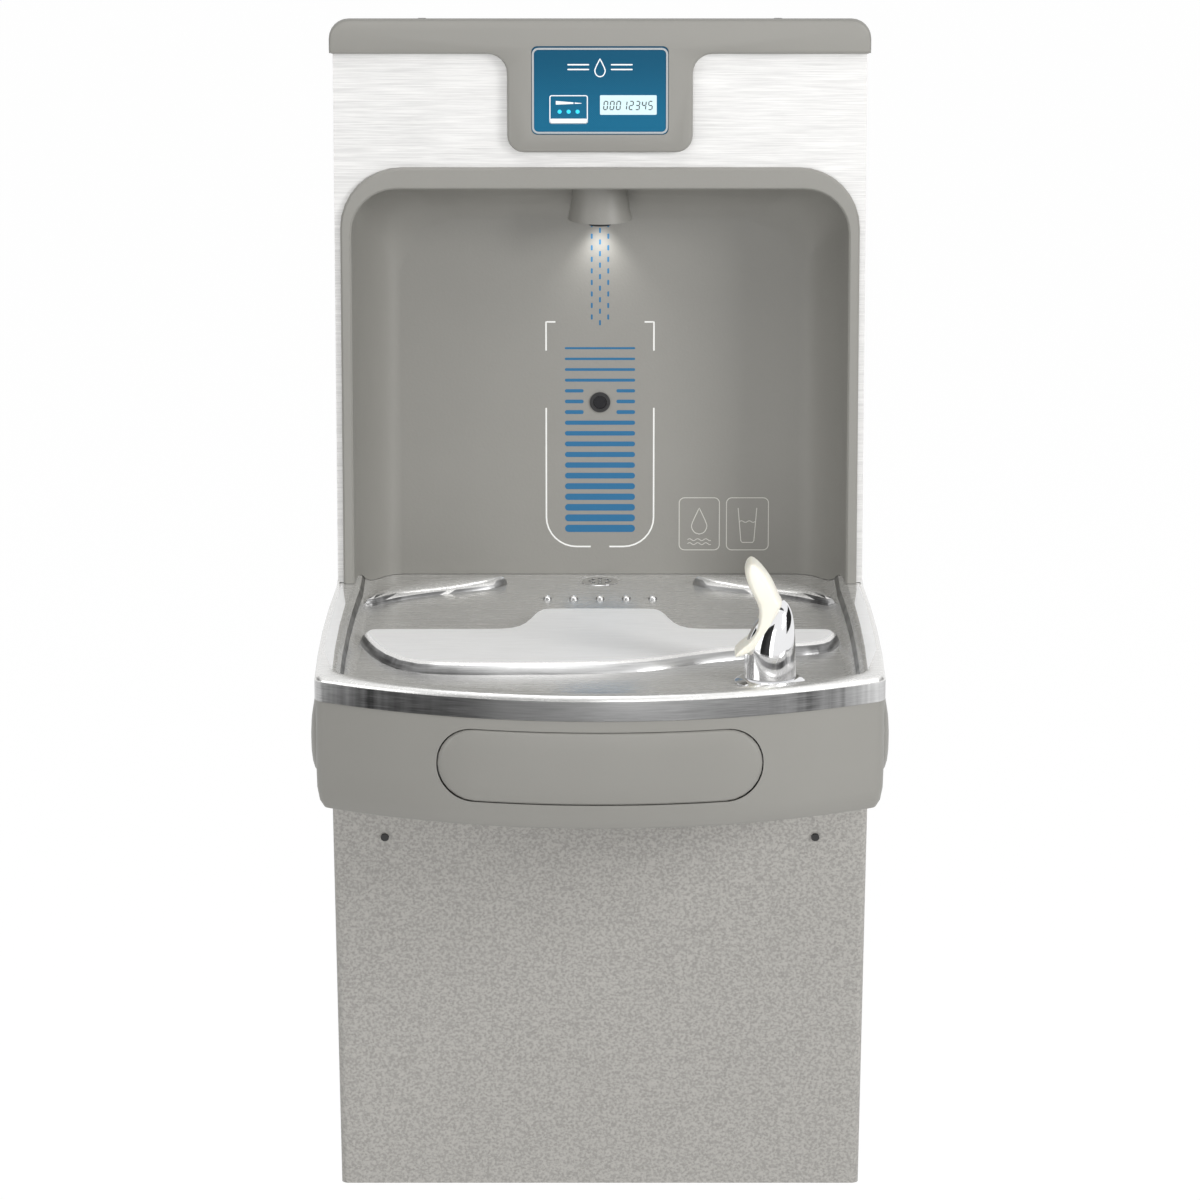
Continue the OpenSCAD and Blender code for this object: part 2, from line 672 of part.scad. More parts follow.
module drain_body() {
    top = floor_z - drain_boss_t - gap;
    color(zinc) placed() translate([0, -drain_y, 0]) difference() {
        union() {
            translate([0, 0, top - tail_len]) cylinder(r = waste_d / 2, h = tail_len);
            translate([0, 0, top - 2 * tail_wall]) cylinder(r = drain_boss_r, h = 2 * tail_wall);
        }
        translate([0, 0, top - tail_len - over]) cylinder(r = waste_d / 2 - tail_wall, h = tail_len + 2 * over);
    }
}
module drain_nut() {
    top = floor_z - drain_boss_t - gap;
    color(zinc) placed() translate([0, -drain_y, top - 2 * tail_wall - gap - nut_h]) difference() {
        cylinder(r = nut_r, h = nut_h, $fn = 6);
        translate([0, 0, -over]) cylinder(r = waste_d / 2 + gap / 2, h = nut_h + 2 * over);
    }
}

// Bubbler: foot, chromed tower with its jet, rubber guard and the nut under the deck
shank_r = 8;
shank_len = 34;
foot_h = 5;
tower_z = floor_z + foot_h;
tower_rings = [[0, 21, 0], [0.22, 20.8, 0], [0.45, 19.8, 0.6], [0.66, 16.6, 3], [0.83, 11.6, 6], [0.94, 6.6, 8], [1, 2, 9]];
tower_h = 63;
tower_squash = 0.92;
tower_sides = 28;
jet_r = 1.8;
jet_share = 0.9;
function tower_ring(q, clear) =
    [for (i = [0:tower_sides - 1])
        let (a = -360 * i / tower_sides)
        [q[2] + (q[1] + clear) * cos(a), (q[1] + clear) * tower_squash * sin(a), tower_h * q[0]]];
module tower_body(clear) {
    translate([bubbler_x, -bubbler_y, tower_z]) loft([for (q = tower_rings) tower_ring(q, clear)]);
}
module bubbler_foot() {
    color(chrome) placed() translate([bubbler_x, -bubbler_y, floor_z + gap / 2]) difference() {
        union() {
            rotate_extrude() polygon([
                [0, 0], [bubbler_foot_d / 2, 0], [bubbler_foot_d / 2, foot_h * 0.3], [bubbler_foot_d / 2 - 2.5, foot_h * 0.62],
                [tower_rings[0][1] + 1.5, foot_h - gap], [0, foot_h - gap]
            ]);
            translate([0, 0, -shank_len]) cylinder(r = shank_r, h = shank_len + eps);
        }
        translate([0, 0, -shank_len - over]) cylinder(r = tube_r + gap, h = shank_len + foot_h + 2 * over);
    }
}
module bubbler_tower() {
    color(chrome) placed() difference() {
        tower_body(0);
        translate([bubbler_x + tower_rings[5][2], -bubbler_y - tower_rings[5][1], tower_z + tower_h * jet_share])
            rotate([-90, 0, 0]) cylinder(r = jet_r, h = tower_rings[5][1]);
    }
}
// Side view of the guard: outer edge, then the hollow inner edge, from the tower's middle
guard_pts = [
    [-14.5, 101.5], [-8, 97], [0.5, 86], [7, 72], [9.2, 66], [3.5, 55], [-3, 42], [-10, 32], [-17, 26.5], [-26, 23.4],
    [-28.4, 24.6], [-26.5, 28.6], [-17, 37], [-11, 46], [-8.8, 58], [-11.2, 68], [-17, 80], [-20.6, 92], [-19, 99.5]
];
guard_half = 15;
guard_layers = [[-1, 0.5], [-0.92, 0.26], [-0.66, 0.07], [0, 0], [0.66, 0.07], [0.92, 0.26], [1, 0.5]];
guard_short = 0.08;
module guard_body() {
    loop = spline_loop(guard_pts, 3);
    rings = [
        for (g = guard_layers)
            at_y([for (p = ridge_ring(loop, g[1], guard_short)) p + [bubbler_x, floor_z]], -bubbler_y + guard_half * g[0])
    ];
    loft(rings, ridge_strips(len(loop)));
}
module bubbler_guard() {
    color(ivory) placed() difference() {
        guard_body();
        tower_body(gap / 2);
    }
}
module bubbler_locknut() {
    color(zinc) placed() translate([bubbler_x, -bubbler_y, floor_under - gap - nut_h]) difference() {
        cylinder(r = 2 * shank_r, h = nut_h, $fn = 6);
        translate([0, 0, -over]) cylinder(r = shank_r + gap / 2, h = nut_h + 2 * over);
    }
}

// Moulded apron: a bowed tub open at the top, with windows for the three push bars
apron_in = 0.8;
apron_steps = [[0, 1], [0, 0.42], [0.6, 0.2], [2.6, 0.085], [6.2, 0.022], [12, 0]];
window_gap = 0.7;
boss_x = 145;
boss_r = 5;
bracket_in = 46.2;
bracket_y = reach - bracket_in;
bracket_t = 2;
module bar_window(l) {
    round_rect(l + 2 * window_gap, bar_h + 2 * window_gap, bar_h / 2.02);
}
module apron() {
    outer = [for (s = apron_steps) at_z(deck_pts(apron_in + s[0]), apron_z + apron_h * s[1])];
    inner = [
        for (i = [len(apron_steps) - 1:-1:0])
            let (s = apron_steps[i])
            at_z(deck_pts(apron_in + s[0] + plastic_t * (1 - 0.6 * s[0] / 12)),
                apron_z + apron_h * s[1] + (s[1] < 0.4 ? plastic_t * (s[0] / 12 + 0.12) : 0))
    ];
    color(grey_plastic) placed() difference() {
        union() {
            loft(concat(inner, outer), strips_of(len(deck_pts(0))));
            both_sides() rod_y(boss_x, bar_z, boss_r, -bracket_y - gap, front_y(boss_x + boss_r, front_bow_r - apron_in - plastic_t / 2));
        }
        block([-deck_w, -panel_t - 2 * gap, apron_z - over], [deck_w, deck_back_y + over, apron_top + over]);
        block([-body_w / 2 - gap, shroud_y(shroud_top) - 2 * gap, apron_z - over], [body_w / 2 + gap, deck_back_y, shroud_top + gap]);
        block([-cab_in - gap, -panel_flange - 2 * gap, apron_z - over], [cab_in + gap, deck_back_y, apron_top + over]);
        along_y(-bracket_y, -reach - over) translate([0, bar_z]) bar_window(front_bar_l);
        translate([0, -side_bar_y, bar_z]) rotate([90, 0, 90])
            linear_extrude(deck_w + 2 * over, center = true) bar_window(side_bar_l);
    }
}

// Bracket behind the apron that guides the front bar and carries its switch
bracket_w = 312;
bracket_h = 40;
bracket_lip = 9;
front_stem_x = 80;
head_r = 6.5;
head_t = 2.5;
module bar_bracket() {
    color(zinc) placed() difference() {
        union() {
            block([-bracket_w / 2, -bracket_y, bar_z - bracket_h / 2], [bracket_w / 2, -bracket_y + bracket_t, bar_z + bracket_h / 2]);
            block([-bracket_w / 2, -bracket_y, bar_z + bracket_h / 2 - bracket_t],
                [bracket_w / 2, -bracket_y + bracket_lip, bar_z + bracket_h / 2]);
            block([-bracket_w / 2, -bracket_y, bar_z - bracket_h / 2],
                [bracket_w / 2, -bracket_y + bracket_lip, bar_z - bracket_h / 2 + bracket_t]);
        }
        both_sides() rod_y(front_stem_x, bar_z, stem_r + run_gap, over - bracket_y + bracket_lip, -bracket_y - over);
    }
}

// Front push bar: a bowed pad on two guide stems with snap heads
bar_proud = 1.2;
bar_t = 9;
bar_face_r = front_bow_r - apron_in + bar_proud;
bar_steps_in = [[0, -9], [0, -2.4], [1.4, -0.9], [4, -0.5], [14, 0]];
bar_back = -front_y(0, bar_face_r - bar_t);
module front_push_bar() {
    color(grey_plastic) placed() {
        loft([
            for (s = bar_steps_in)
                [for (p = bar_ring(front_bar_l - 2 * s[0], bar_h - 2 * s[0]))
                    [p[0], front_y(p[0], bar_face_r + s[1]), bar_z + p[1]]]
        ], bar_strips);
        both_sides() {
            stem_end = -bracket_y + bracket_t + gap;
            rod_y(front_stem_x, bar_z, stem_r, stem_end + head_t, front_y(front_stem_x, bar_face_r - bar_t / 2));
            rod_y(front_stem_x, bar_z, head_r, stem_end, stem_end + head_t);
        }
    }
}

// Side push bars: domed pads whose stems slide in the side plates
side_dome = 4.65;
side_back = 6;
side_steps_in = [[0, -1.29], [0, 0], [2.2, 0.33], [7, 0.66], [14, 0.88], [24, 1]];
side_face = deck_w / 2 - apron_in;
module side_pad() {
    rings = [
        for (s = side_steps_in)
            [for (p = bar_ring(side_bar_l - 2 * s[0], bar_h - 2 * s[0]))
                [side_face + (s[1] < 0 ? -side_back : side_dome * s[1]), -side_bar_y + p[0], bar_z + p[1]]]
    ];
    loft(rings, bar_strips);
    for (s = [-1, 1]) {
        y = -side_bar_y + s * stem_pitch / 2;
        stem_end = side_plate_x - side_plate_t - gap;
        rod_x(y, bar_z, stem_r, stem_end - head_t, side_face - side_back / 2);
        rod_x(y, bar_z, head_r, stem_end - head_t, stem_end);
    }
}
module right_push_bar() {
    color(grey_plastic) placed() side_pad();
}
module left_push_bar() {
    color(grey_plastic) placed() mirror([1, 0, 0]) side_pad();
}

// Return springs: wire coils round the stems
wire_r = 0.6;
coil_r = stem_r + 1.6;
coil_sides = 6;
coil_rings = 8;
module coil_spring(length, turns) {
    n = turns * coil_rings;
    pitch = (length - 2 * wire_r) / turns;
    rings = [
        for (i = [0:n])
            let (
                a = 360 * i / coil_rings,
                c = [coil_r * cos(a), coil_r * sin(a), wire_r + pitch * i / coil_rings],
                out = [cos(a), sin(a), 0]
            )
            [for (k = [0:coil_sides - 1])
                let (b = 360 * k / coil_sides)
                c + wire_r * (cos(b) * out + [0, 0, sin(b)])]
    ];
    loft(rings);
}
spring_turns = 5;
side_spring_turns = 3;
module front_bar_springs() {
    far = front_y(front_stem_x, bar_face_r - bar_t) + coil_r * front_stem_x / bar_face_r + gap;
    color(chrome) placed() for (s = [-1, 1])
        translate([s * front_stem_x, far + 1, bar_z]) rotate([-90, 0, 0])
            coil_spring(-bracket_y - far - 1 - gap, spring_turns);
}
module side_springs() {
    near = side_plate_x + gap;
    for (s = [-1, 1])
        translate([near, -side_bar_y + s * stem_pitch / 2, bar_z]) rotate([0, 90, 0])
            coil_spring(side_face - side_back - gap - near, side_spring_turns);
}
module right_bar_springs() {
    color(chrome) placed() side_springs();
}
module left_bar_springs() {
    color(chrome) placed() mirror([1, 0, 0]) side_springs();
}

// Switch bodies, and the plunger that each bar pushes
switch_l = 20;
switch_w = 20;
switch_h = 12;
module bar_switches() {
    color(black) placed() {
        difference() {
            block([-switch_w / 2, -bracket_y - gap - switch_l, bar_z - switch_h / 2], [switch_w / 2, -bracket_y - gap, bar_z + switch_h / 2]);
            rod_y(0, bar_z, plunger_r + run_gap, -bracket_y - 3 * gap, -bracket_y - switch_l - over);
        }
        both_sides() difference() {
            block([side_plate_x - side_plate_t - gap - switch_l, -side_bar_y - switch_w / 2, bar_z - switch_h / 2],
                [side_plate_x - side_plate_t - gap, -side_bar_y + switch_w / 2, bar_z + switch_h / 2]);
            rod_x(-side_bar_y, bar_z, plunger_r + run_gap,
                side_plate_x - side_plate_t - switch_l + gap, side_plate_x + over);
        }
    }
}
module front_plunger() {
    color(white) placed()
        rod_y(0, bar_z, plunger_r, -bracket_y - 3 * gap - bar_travel - gap, -bar_back + gap);
}
module side_plunger() {
    rod_x(-side_bar_y, bar_z, plunger_r,
        side_plate_x - side_plate_t - switch_l + 2 * gap + bar_travel, side_face - side_back - gap);
}
module right_plunger() {
    color(white) placed() side_plunger();
}
module left_plunger() {
    color(white) placed() mirror([1, 0, 0]) side_plunger();
}

// Bottle filler: back plate, steel panel, cap and display
steel_t = 1;
filler_low = rim_z + gap;
back_plate_drop = 18;
back_plate_top = cap_z - back_plate_drop;
cap_over = (cap_w - body_w) / 2;
wrap_under = 3;
filler_hole_in = 51.5;
filler_hole_up = 48;
filler_hole_dx = body_w - 2 * filler_hole_in;
filler_hole_z = arch_top + filler_hole_up;
filler_hole_d = 7;
module filler_back_plate() {
    w = body_w / 2 - steel_t - gap;
    color(zinc) placed() difference() {
        union() {
            block([-w, -panel_t, filler_low], [w, 0, back_plate_top]);
            both_sides() block([w - panel_t, -2 * panel_flange, filler_low], [w, 0, back_plate_top]);
        }
        both_sides() rod_y(filler_hole_dx / 2, filler_hole_z, filler_hole_d / 2, over, -panel_t - over);
    }
}
window_in = 6;
arch_side = 9;
arch_over = 18;
panel_lap = 6;
// The wrapper drawn in by t, shaped like the cap at its top
module wrap_run(t, front, back, low) {
    intersection() {
        block([-cap_w, front, low], [cap_w, back, overall_h]);
        cap_run(wrap_under + t, back + over, low - over, overall_h, cap_over + t);
    }
}
module filler_wrapper() {
    disp_z = overall_h - display_drop - display_h / 2;
    color(steel) placed() difference() {
        wrap_run(0, -filler_d, -2 * gap, filler_low);
        wrap_run(steel_t, steel_t - filler_d, over, filler_low - over);
        along_y(over - filler_d + steel_t, -filler_d - over)
            polygon(arch_pts(arch_w / 2 - panel_lap, arch_top - panel_lap, arch_r - panel_lap));
        along_y(over - filler_d + steel_t, -filler_d - over)
            translate([0, disp_z]) square([display_w - 2 * window_in, display_h - 2 * window_in], center = true);
        at_cap_screw() translate([0, 0, -cap_screw_len]) cylinder(r = screw_r + gap, h = cap_screw_len);
    }
}
bezel_proud = 8;
bezel_round = 4;
display_drop = 22;
display_deep = 3;
display_r = 5;
cap_screw_in = 71.5;
cap_screw_x = body_w / 2 - cap_screw_in;
cap_screw_y = 12;
cap_screw_len = 9;
cap_slope = 10;
cap_back = filler_d + gap;
function cap_top_at(y) = overall_h - (cap_back - y) * tan(cap_slope);
// The seat of a cap screw, square to the sloping top
module at_cap_screw() {
    both_sides() translate([cap_screw_x, -cap_screw_y, cap_top_at(cap_screw_y)]) rotate([-cap_slope, 0, 0]) children();
}
// The cap's top drawn in by t and its sides by t_side, from its face back to y1, reaching down by deep
module cap_run(t, y1, low, deep = 2 * cap_h, t_side) {
    in = is_undef(t_side) ? t : t_side;
    r = max(cap_r - t, gap);
    side = cap_w / 2 - in - r;
    section = concat([[cap_w / 2 - in, -deep]], arc_pts([side, -t - r], r, 0, 90, 8));
    intersection() {
        translate([0, -cap_back - lap, overall_h - eps]) rotate([-cap_slope, 0, 0])
            along_y(filler_d + deep, -cap_h) polygon(concat(section, mirrored_x(section)));
        block([-cap_w, -cap_back - (t > 0 ? 0 : lap), low], [cap_w, y1, overall_h]);
    }
}
module top_cap() {
    front = filler_d + bezel_proud;
    disp_z = overall_h - display_drop - display_h / 2;
    rings = concat(
        [at_y(cap_pts(0), -cap_back)],
        [for (a = [0, 30, 60, 90]) at_y(cap_pts(bezel_round * 0.72 * (1 - cos(a))), -(front - bezel_round + bezel_round * sin(a)))]
    );
    color(grey_plastic) placed() difference() {
        union() {
            loft(rings, strips_of(len(rings[0]), cap_level));
            cap_run(0, -gap, cap_z);
        }
        cap_run(plastic_t, over, cap_z - over);
        along_y(display_deep - front, -front - over) translate([0, disp_z]) round_rect(display_w, display_h, display_r);
        along_y(over - cap_back, -front) translate([0, disp_z])
            square([display_w - 2 * window_in, display_h - 2 * window_in], center = true);
        at_cap_screw() translate([0, 0, -cap_screw_len]) cylinder(r = screw_r + gap, h = cap_screw_len + over);
    }
}
module cap_screws() {
    color(black) placed() at_cap_screw() {
        translate([0, 0, -cap_screw_len]) cylinder(r = screw_r, h = cap_screw_len + gap + eps);
        translate([0, 0, gap]) cylinder(r = screw_head_r, h = screw_head_h);
    }
}
lens_gap = 0.2;
module display_lens() {
    disp_z = overall_h - display_drop - display_h / 2;
    front = filler_d + bezel_proud;
    color(blue) placed() along_y(display_deep - front - lens_gap, -front + display_deep / 3) translate([0, disp_z])
        round_rect(display_w - 2 * lens_gap, display_h - 2 * lens_gap, display_r - lens_gap);
}
board_t = 1.6;
module display_board() {
    disp_z = overall_h - display_drop - display_h / 2;
    y = -filler_d + steel_t + gap;
    color(green) placed() {
        along_y(y, y + board_t) translate([0, disp_z]) square([display_w + window_in, display_h - window_in / 2], center = true);
        block([-display_w / 3, -filler_d - bezel_proud + display_deep + gap, disp_z - display_h / 4],
            [display_w / 3, y + eps, disp_z + display_h / 4]);
        block([-window_in * 2, y + board_t - eps, disp_z - window_in], [window_in * 2, y + 5 * board_t, disp_z + window_in]);
    }
}

// Alcove: one moulding with its flange, hollow-curved walls, back wall and nozzle housing
cove_top_run = 46;
arch_inner_r = 37.5;
flange_proud = 5;
flange_soft = 1.6;
cove_steps = 8;
cove_soft_r = 8;
nozzle_y = 52;
housing_top_r = 20;
inner_top = arch_top - arch_over;
inner_hw = arch_w / 2 - arch_side;
housing_z = inner_top - housing_drop + 3;
sensor_z = rim_z + sensor_share * (inner_top - rim_z);
sensor_hole_r = 7.4;
alcove_t = 2.4;
function cove_ring(a, t) =
    at_y(arch_pts(
        inner_hw + t - cove_run * (1 - cos(a)),
        inner_top + t - cove_top_run * (1 - cos(a)),
        arch_inner_r + t + cove_soft_r * (1 - cos(a))
    ), -(filler_d + flange_proud - flange_soft) + (filler_d + flange_proud - flange_soft - alcove_back + t) * sin(a));
module alcove_shell() {
    front = filler_d + flange_proud;
    deg = 90 / cove_steps;
    inside = [for (i = [cove_steps:-1:0]) cove_ring(i * deg, 0)];
    flange = [
        at_y(arch_pts(inner_hw + flange_soft, inner_top + flange_soft, arch_inner_r + flange_soft), -front),
        at_y(arch_pts(arch_w / 2 - flange_soft, arch_top - flange_soft, arch_r - flange_soft), -front),
        at_y(arch_pts(arch_w / 2, arch_top, arch_r), flange_soft - front),
        at_y(arch_pts(arch_w / 2, arch_top, arch_r), -filler_d - gap),
        at_y(arch_pts(inner_hw + alcove_t, inner_top + alcove_t, arch_inner_r + alcove_t), -filler_d - gap)
    ];
    outside = [for (i = [1:cove_steps]) cove_ring(i * deg, alcove_t)];
    bowl_side = [for (k = [0:bowl_last]) [deck_back_w / 2 - bowl_in(k) - gap, bowl_at(k) + gap]];
    low = rim_z - arch_foot - arch_w;
    cut = concat([[deck_w, low], [deck_w, rim_z + gap]], bowl_side);
    color(grey_plastic) placed() difference() {
        union() {
            loft(concat(inside, flange, outside));
            intersection() {
                translate([0, -nozzle_y, housing_z])
                    cylinder(r1 = housing_r, r2 = housing_top_r, h = inner_top + alcove_t - housing_z);
                block([-arch_w, -filler_d, housing_z], [arch_w, -alcove_back, inner_top + alcove_t]);
            }
        }
        translate([0, -nozzle_y, housing_z - over])
            cylinder(r = housing_top_r - alcove_t, h = housing_drop - 2 * alcove_t);
        translate([0, -nozzle_y, housing_z - over]) cylinder(r = nozzle_r + gap, h = arch_drop);
        along_y(over, -front - over) polygon(concat(cut, mirrored_x(cut)));
        rod_y(0, sensor_z, sensor_hole_r, 0, -alcove_back - over);
    }
}
nozzle_r = 9;
nozzle_tip_r = 11;
nozzle_tip_h = 5;
nozzle_taper = 1.5;
nozzle_top = inner_top + 3 * alcove_t;
module fill_nozzle() {
    color(black) placed() translate([0, -nozzle_y, 0]) difference() {
        union() {
            translate([0, 0, housing_z - over]) cylinder(r = nozzle_r, h = nozzle_top - housing_z + over);
            translate([0, 0, housing_z - nozzle_tip_h]) cylinder(r1 = nozzle_tip_r - nozzle_taper, r2 = nozzle_tip_r, h = nozzle_tip_h);
        }
        translate([0, 0, housing_z - nozzle_tip_h - over]) cylinder(r = tube_r + gap, h = 2 * arch_drop);
    }
}
light_t = 2;
module nozzle_light() {
    color(white) placed() translate([0, -nozzle_y, housing_z + gap]) difference() {
        cylinder(r = housing_top_r - alcove_t - gap, h = light_t);
        translate([0, 0, -over]) cylinder(r = nozzle_r + gap, h = light_t + 2 * over);
    }
}
bezel_ring_r = 8.8;
bezel_bore_r = 5.9;
module sensor_bezel() {
    color(black) placed() difference() {
        union() {
            rod_y(0, sensor_z, bezel_ring_r, -alcove_back - gap, -alcove_back - gap - 1);
            rod_y(0, sensor_z, sensor_hole_r - gap, -alcove_back + alcove_t, -alcove_back - gap - 0.5);
        }
        rod_y(0, sensor_z, bezel_bore_r, 0, -2 * alcove_back);
    }
}
module sensor_window() {
    color(black) placed() rod_y(0, sensor_z, bezel_bore_r - gap / 2, -alcove_back + alcove_t, -alcove_back - gap / 2);
}
module sensor_module() {
    back = -alcove_back + alcove_t + gap;
    color(green) placed() {
        block([-2 * bezel_ring_r, -panel_t - gap, sensor_z - bezel_ring_r], [2 * bezel_ring_r, back, sensor_z + bezel_ring_r]);
    }
}

// Control box and the filler's solenoid valve behind the panel, above the alcove
box_at = [95, 205];
box_d = 58;
box_h = 74;
valve_x = 45;
valve_w = 30;
valve_h = 34;
valve_d = 42;
box_z = arch_top + 9;
coil_body_r = 11;
module control_box() {
    color(grey_plastic) placed() {
        block([box_at[0], -box_d, box_z], [box_at[1], -panel_t - gap, box_z + box_h]);
        block([box_at[0] + tube_r, -box_d - tube_r, box_z + tube_r], [box_at[1] - tube_r, -box_d + eps, box_z + box_h - tube_r]);
    }
}
tank_valve_up = 105;
tank_valve_z = mount_z + tank_valve_up;
tank_valve_x = 185;
module one_valve(x, z) {
    block([x - valve_w / 2, -valve_d, z], [x + valve_w / 2, -panel_t - gap, z + valve_h]);
    rod_y(x, z + valve_h / 2, coil_body_r, -valve_d - valve_w / 2, -valve_d + eps);
}
module solenoid_valves() {
    color(white) placed() {
        one_valve(-valve_x, box_z + gap);
        one_valve(-tank_valve_x, tank_valve_z);
    }
}
tube_bend = 16;
module filler_tube() {
    valve_mid = -valve_d / 2;
    color(white) placed() {
        tube([
            [-tank_valve_x, valve_mid, tank_valve_z + valve_h + gap],
            [-tank_valve_x, valve_mid, tank_valve_z + valve_h + 14],
            [riser[0], riser[1], floor_under - 14],
            [riser[0], riser[1], box_z + valve_h / 2],
            [-valve_x - valve_w / 2 - gap, valve_mid, box_z + valve_h / 2]
        ], tube_r, tube_bend);
        tube([
            [-valve_x + valve_w / 2 + gap, valve_mid, box_z + valve_h / 2],
            [0, valve_mid, box_z + valve_h / 2],
            [0, -nozzle_y, box_z + valve_h / 2],
            [0, -nozzle_y, nozzle_top + gap]
        ], tube_r, tube_bend / 2);
    }
}
module bubbler_tube() {
    low = floor_z + gap / 2 - shank_len;
    color(white) placed() tube([
        [-tank_valve_x + valve_w / 2 + gap, -valve_d / 2, tank_valve_z + valve_h / 2],
        [-tank_valve_x + 2 * valve_w, -valve_d / 2, tank_valve_z + valve_h / 2],
        [-tank_valve_x + 3 * valve_w, -rail_y - rail_w, low - 12],
        [bubbler_x, -bubbler_y + 3 * shank_r, low - 26],
        [bubbler_x, -bubbler_y, low - 22],
        [bubbler_x, -bubbler_y, low - gap]
    ], tube_r, tube_bend);
}

// Hermetic compressor on four rubber feet, with its start relay
comp_x = -108;
comp_y = 78;
comp_r = 58;
comp_low = 24;
comp_h = 140;
comp_dome = 26;
comp_weld = 2.5;
comp_foot = [150, 18, 3];
comp_foot_z = 16;
comp_foot_y = 46;
grommet_r = 9;
grommet_dx = 62;
grommet_bore = 4;
function dome(r, z, h, a0, a1, n) = [for (i = [0:n]) let (a = a0 + (a1 - a0) * i / n) [r * cos(a), z + h * sin(a)]];
module compressor() {
    top = comp_low + comp_h;
    color(black) placed() translate([comp_x, -comp_y, 0]) difference() {
        union() {
            rotate_extrude() polygon(concat(
                [[0, comp_low]],
                dome(comp_r, comp_low + comp_dome, comp_dome, -80, 0, 6),
                [[comp_r, comp_low + comp_h / 2 - comp_weld], [comp_r + comp_weld, comp_low + comp_h / 2 - comp_weld],
                    [comp_r + comp_weld, comp_low + comp_h / 2 + comp_weld], [comp_r, comp_low + comp_h / 2 + comp_weld]],
                dome(comp_r, top - comp_dome, comp_dome, 0, 80, 6),
                [[0, top]]
            ));
            for (s = [-1, 1])
                translate([0, s * comp_foot_y, comp_foot_z + comp_foot[2] / 2]) cube(comp_foot, center = true);
            translate([0, 0, comp_foot_z]) cylinder(r = comp_r - comp_foot[1], h = comp_low);
            translate([0, 0, comp_foot_z + comp_foot[2] / 2])
                cube([comp_foot[1] * 2, 2 * comp_foot_y, comp_foot[2]], center = true);
        }
        for (sx = [-1, 1], sy = [-1, 1])
            translate([sx * grommet_dx, sy * comp_foot_y, comp_foot_z - over])
                cylinder(r = grommet_bore + gap, h = comp_foot[2] + 2 * over);
    }
}
module compressor_grommets() {
    color(black) placed() for (sx = [-1, 1], sy = [-1, 1])
        translate([comp_x + sx * grommet_dx, -comp_y + sy * comp_foot_y, pan_t + gap]) {
            cylinder(r = grommet_r, h = comp_foot_z - pan_t - 2 * gap);
            cylinder(r = grommet_bore, h = comp_foot_z + comp_foot[2] - pan_t + 2 * gap);
        }
}
relay = [18, 40, 46];
module start_relay() {
    color(black) placed() difference() {
        block([comp_x + comp_r - relay[0] / 2, -comp_y - relay[1] / 2, comp_low + comp_h / 2 + comp_weld + gap],
            [comp_x + comp_r + relay[0], -comp_y + relay[1] / 2, comp_low + comp_h / 2 + comp_weld + relay[2]]);
        translate([comp_x, -comp_y, comp_low]) cylinder(r = comp_r + gap, h = comp_h);
    }
}

// Condenser with its tube passes and fins, the fan shroud, the motor and the blade
coil_x = [150, 192];
coil_y = [-138, -20];
coil_z = [pan_t + gap, 176];
fin_t = 0.9;
fins = 13;
pass_r = 4.5;
pass_rows = 6;
fan_y = 79;
fan_z = 94;
blade_r = 50;
ring_r = 54;
module condenser() {
    rows = (coil_z[1] - coil_z[0]) / pass_rows;
    pitch = (coil_y[1] - coil_y[0] - fin_t) / (fins - 1);
    color(black) placed() {
        for (i = [0:fins - 1])
            block([coil_x[0], coil_y[0] + i * pitch, coil_z[0]], [coil_x[1], coil_y[0] + i * pitch + fin_t, coil_z[1]]);
        for (c = [-1, 1], r = [0:pass_rows - 1])
            translate([0, 0, coil_z[0] + (r + 0.5) * rows])
                rod_y((coil_x[0] + coil_x[1]) / 2 + c * (coil_x[1] - coil_x[0]) / 4, 0, pass_r, coil_y[0] - 2, coil_y[1] + 2);
    }
}
shroud_wall = 2;
fan_gap = 12;
module fan_shroud() {
    x = coil_x[0] - gap;
    color(zinc) placed() difference() {
        block([x - fan_gap, coil_y[0], coil_z[0]], [x, coil_y[1], coil_z[1]]);
        block([x - fan_gap + shroud_wall, coil_y[0] + shroud_wall, coil_z[0] + shroud_wall],
            [x + over, coil_y[1] - shroud_wall, coil_z[1] - shroud_wall]);
        rod_x(-fan_y, fan_z, ring_r, x - fan_gap - over, x);
    }
}
motor_r = 27;
motor_l = 42;
motor_x = 72;
shaft_r = 3;
arm_r = 64;
arm_w = 8;
hub_r = 13;
hub_l = 16;
module fan_motor() {
    far = coil_x[0] - gap - fan_gap - gap;
    color(black) placed() {
        rod_x(-fan_y, fan_z, motor_r, motor_x, motor_x + motor_l);
        rod_x(-fan_y, fan_z, shaft_r, motor_x, motor_x + motor_l + hub_l + 3);
        for (s = [-1, 1]) {
            block([motor_x + arm_w, -fan_y - arm_w / 2, fan_z], [motor_x + 2 * arm_w, -fan_y + arm_w / 2, fan_z + s * (arm_r + arm_w / 2)]);
            block([motor_x + arm_w, -fan_y - arm_w / 2, fan_z + s * (arm_r - arm_w / 2)],
                [far, -fan_y + arm_w / 2, fan_z + s * (arm_r + arm_w / 2)]);
        }
    }
}
blades = 5;
blade_t = 1.4;
blade_pitch = 28;
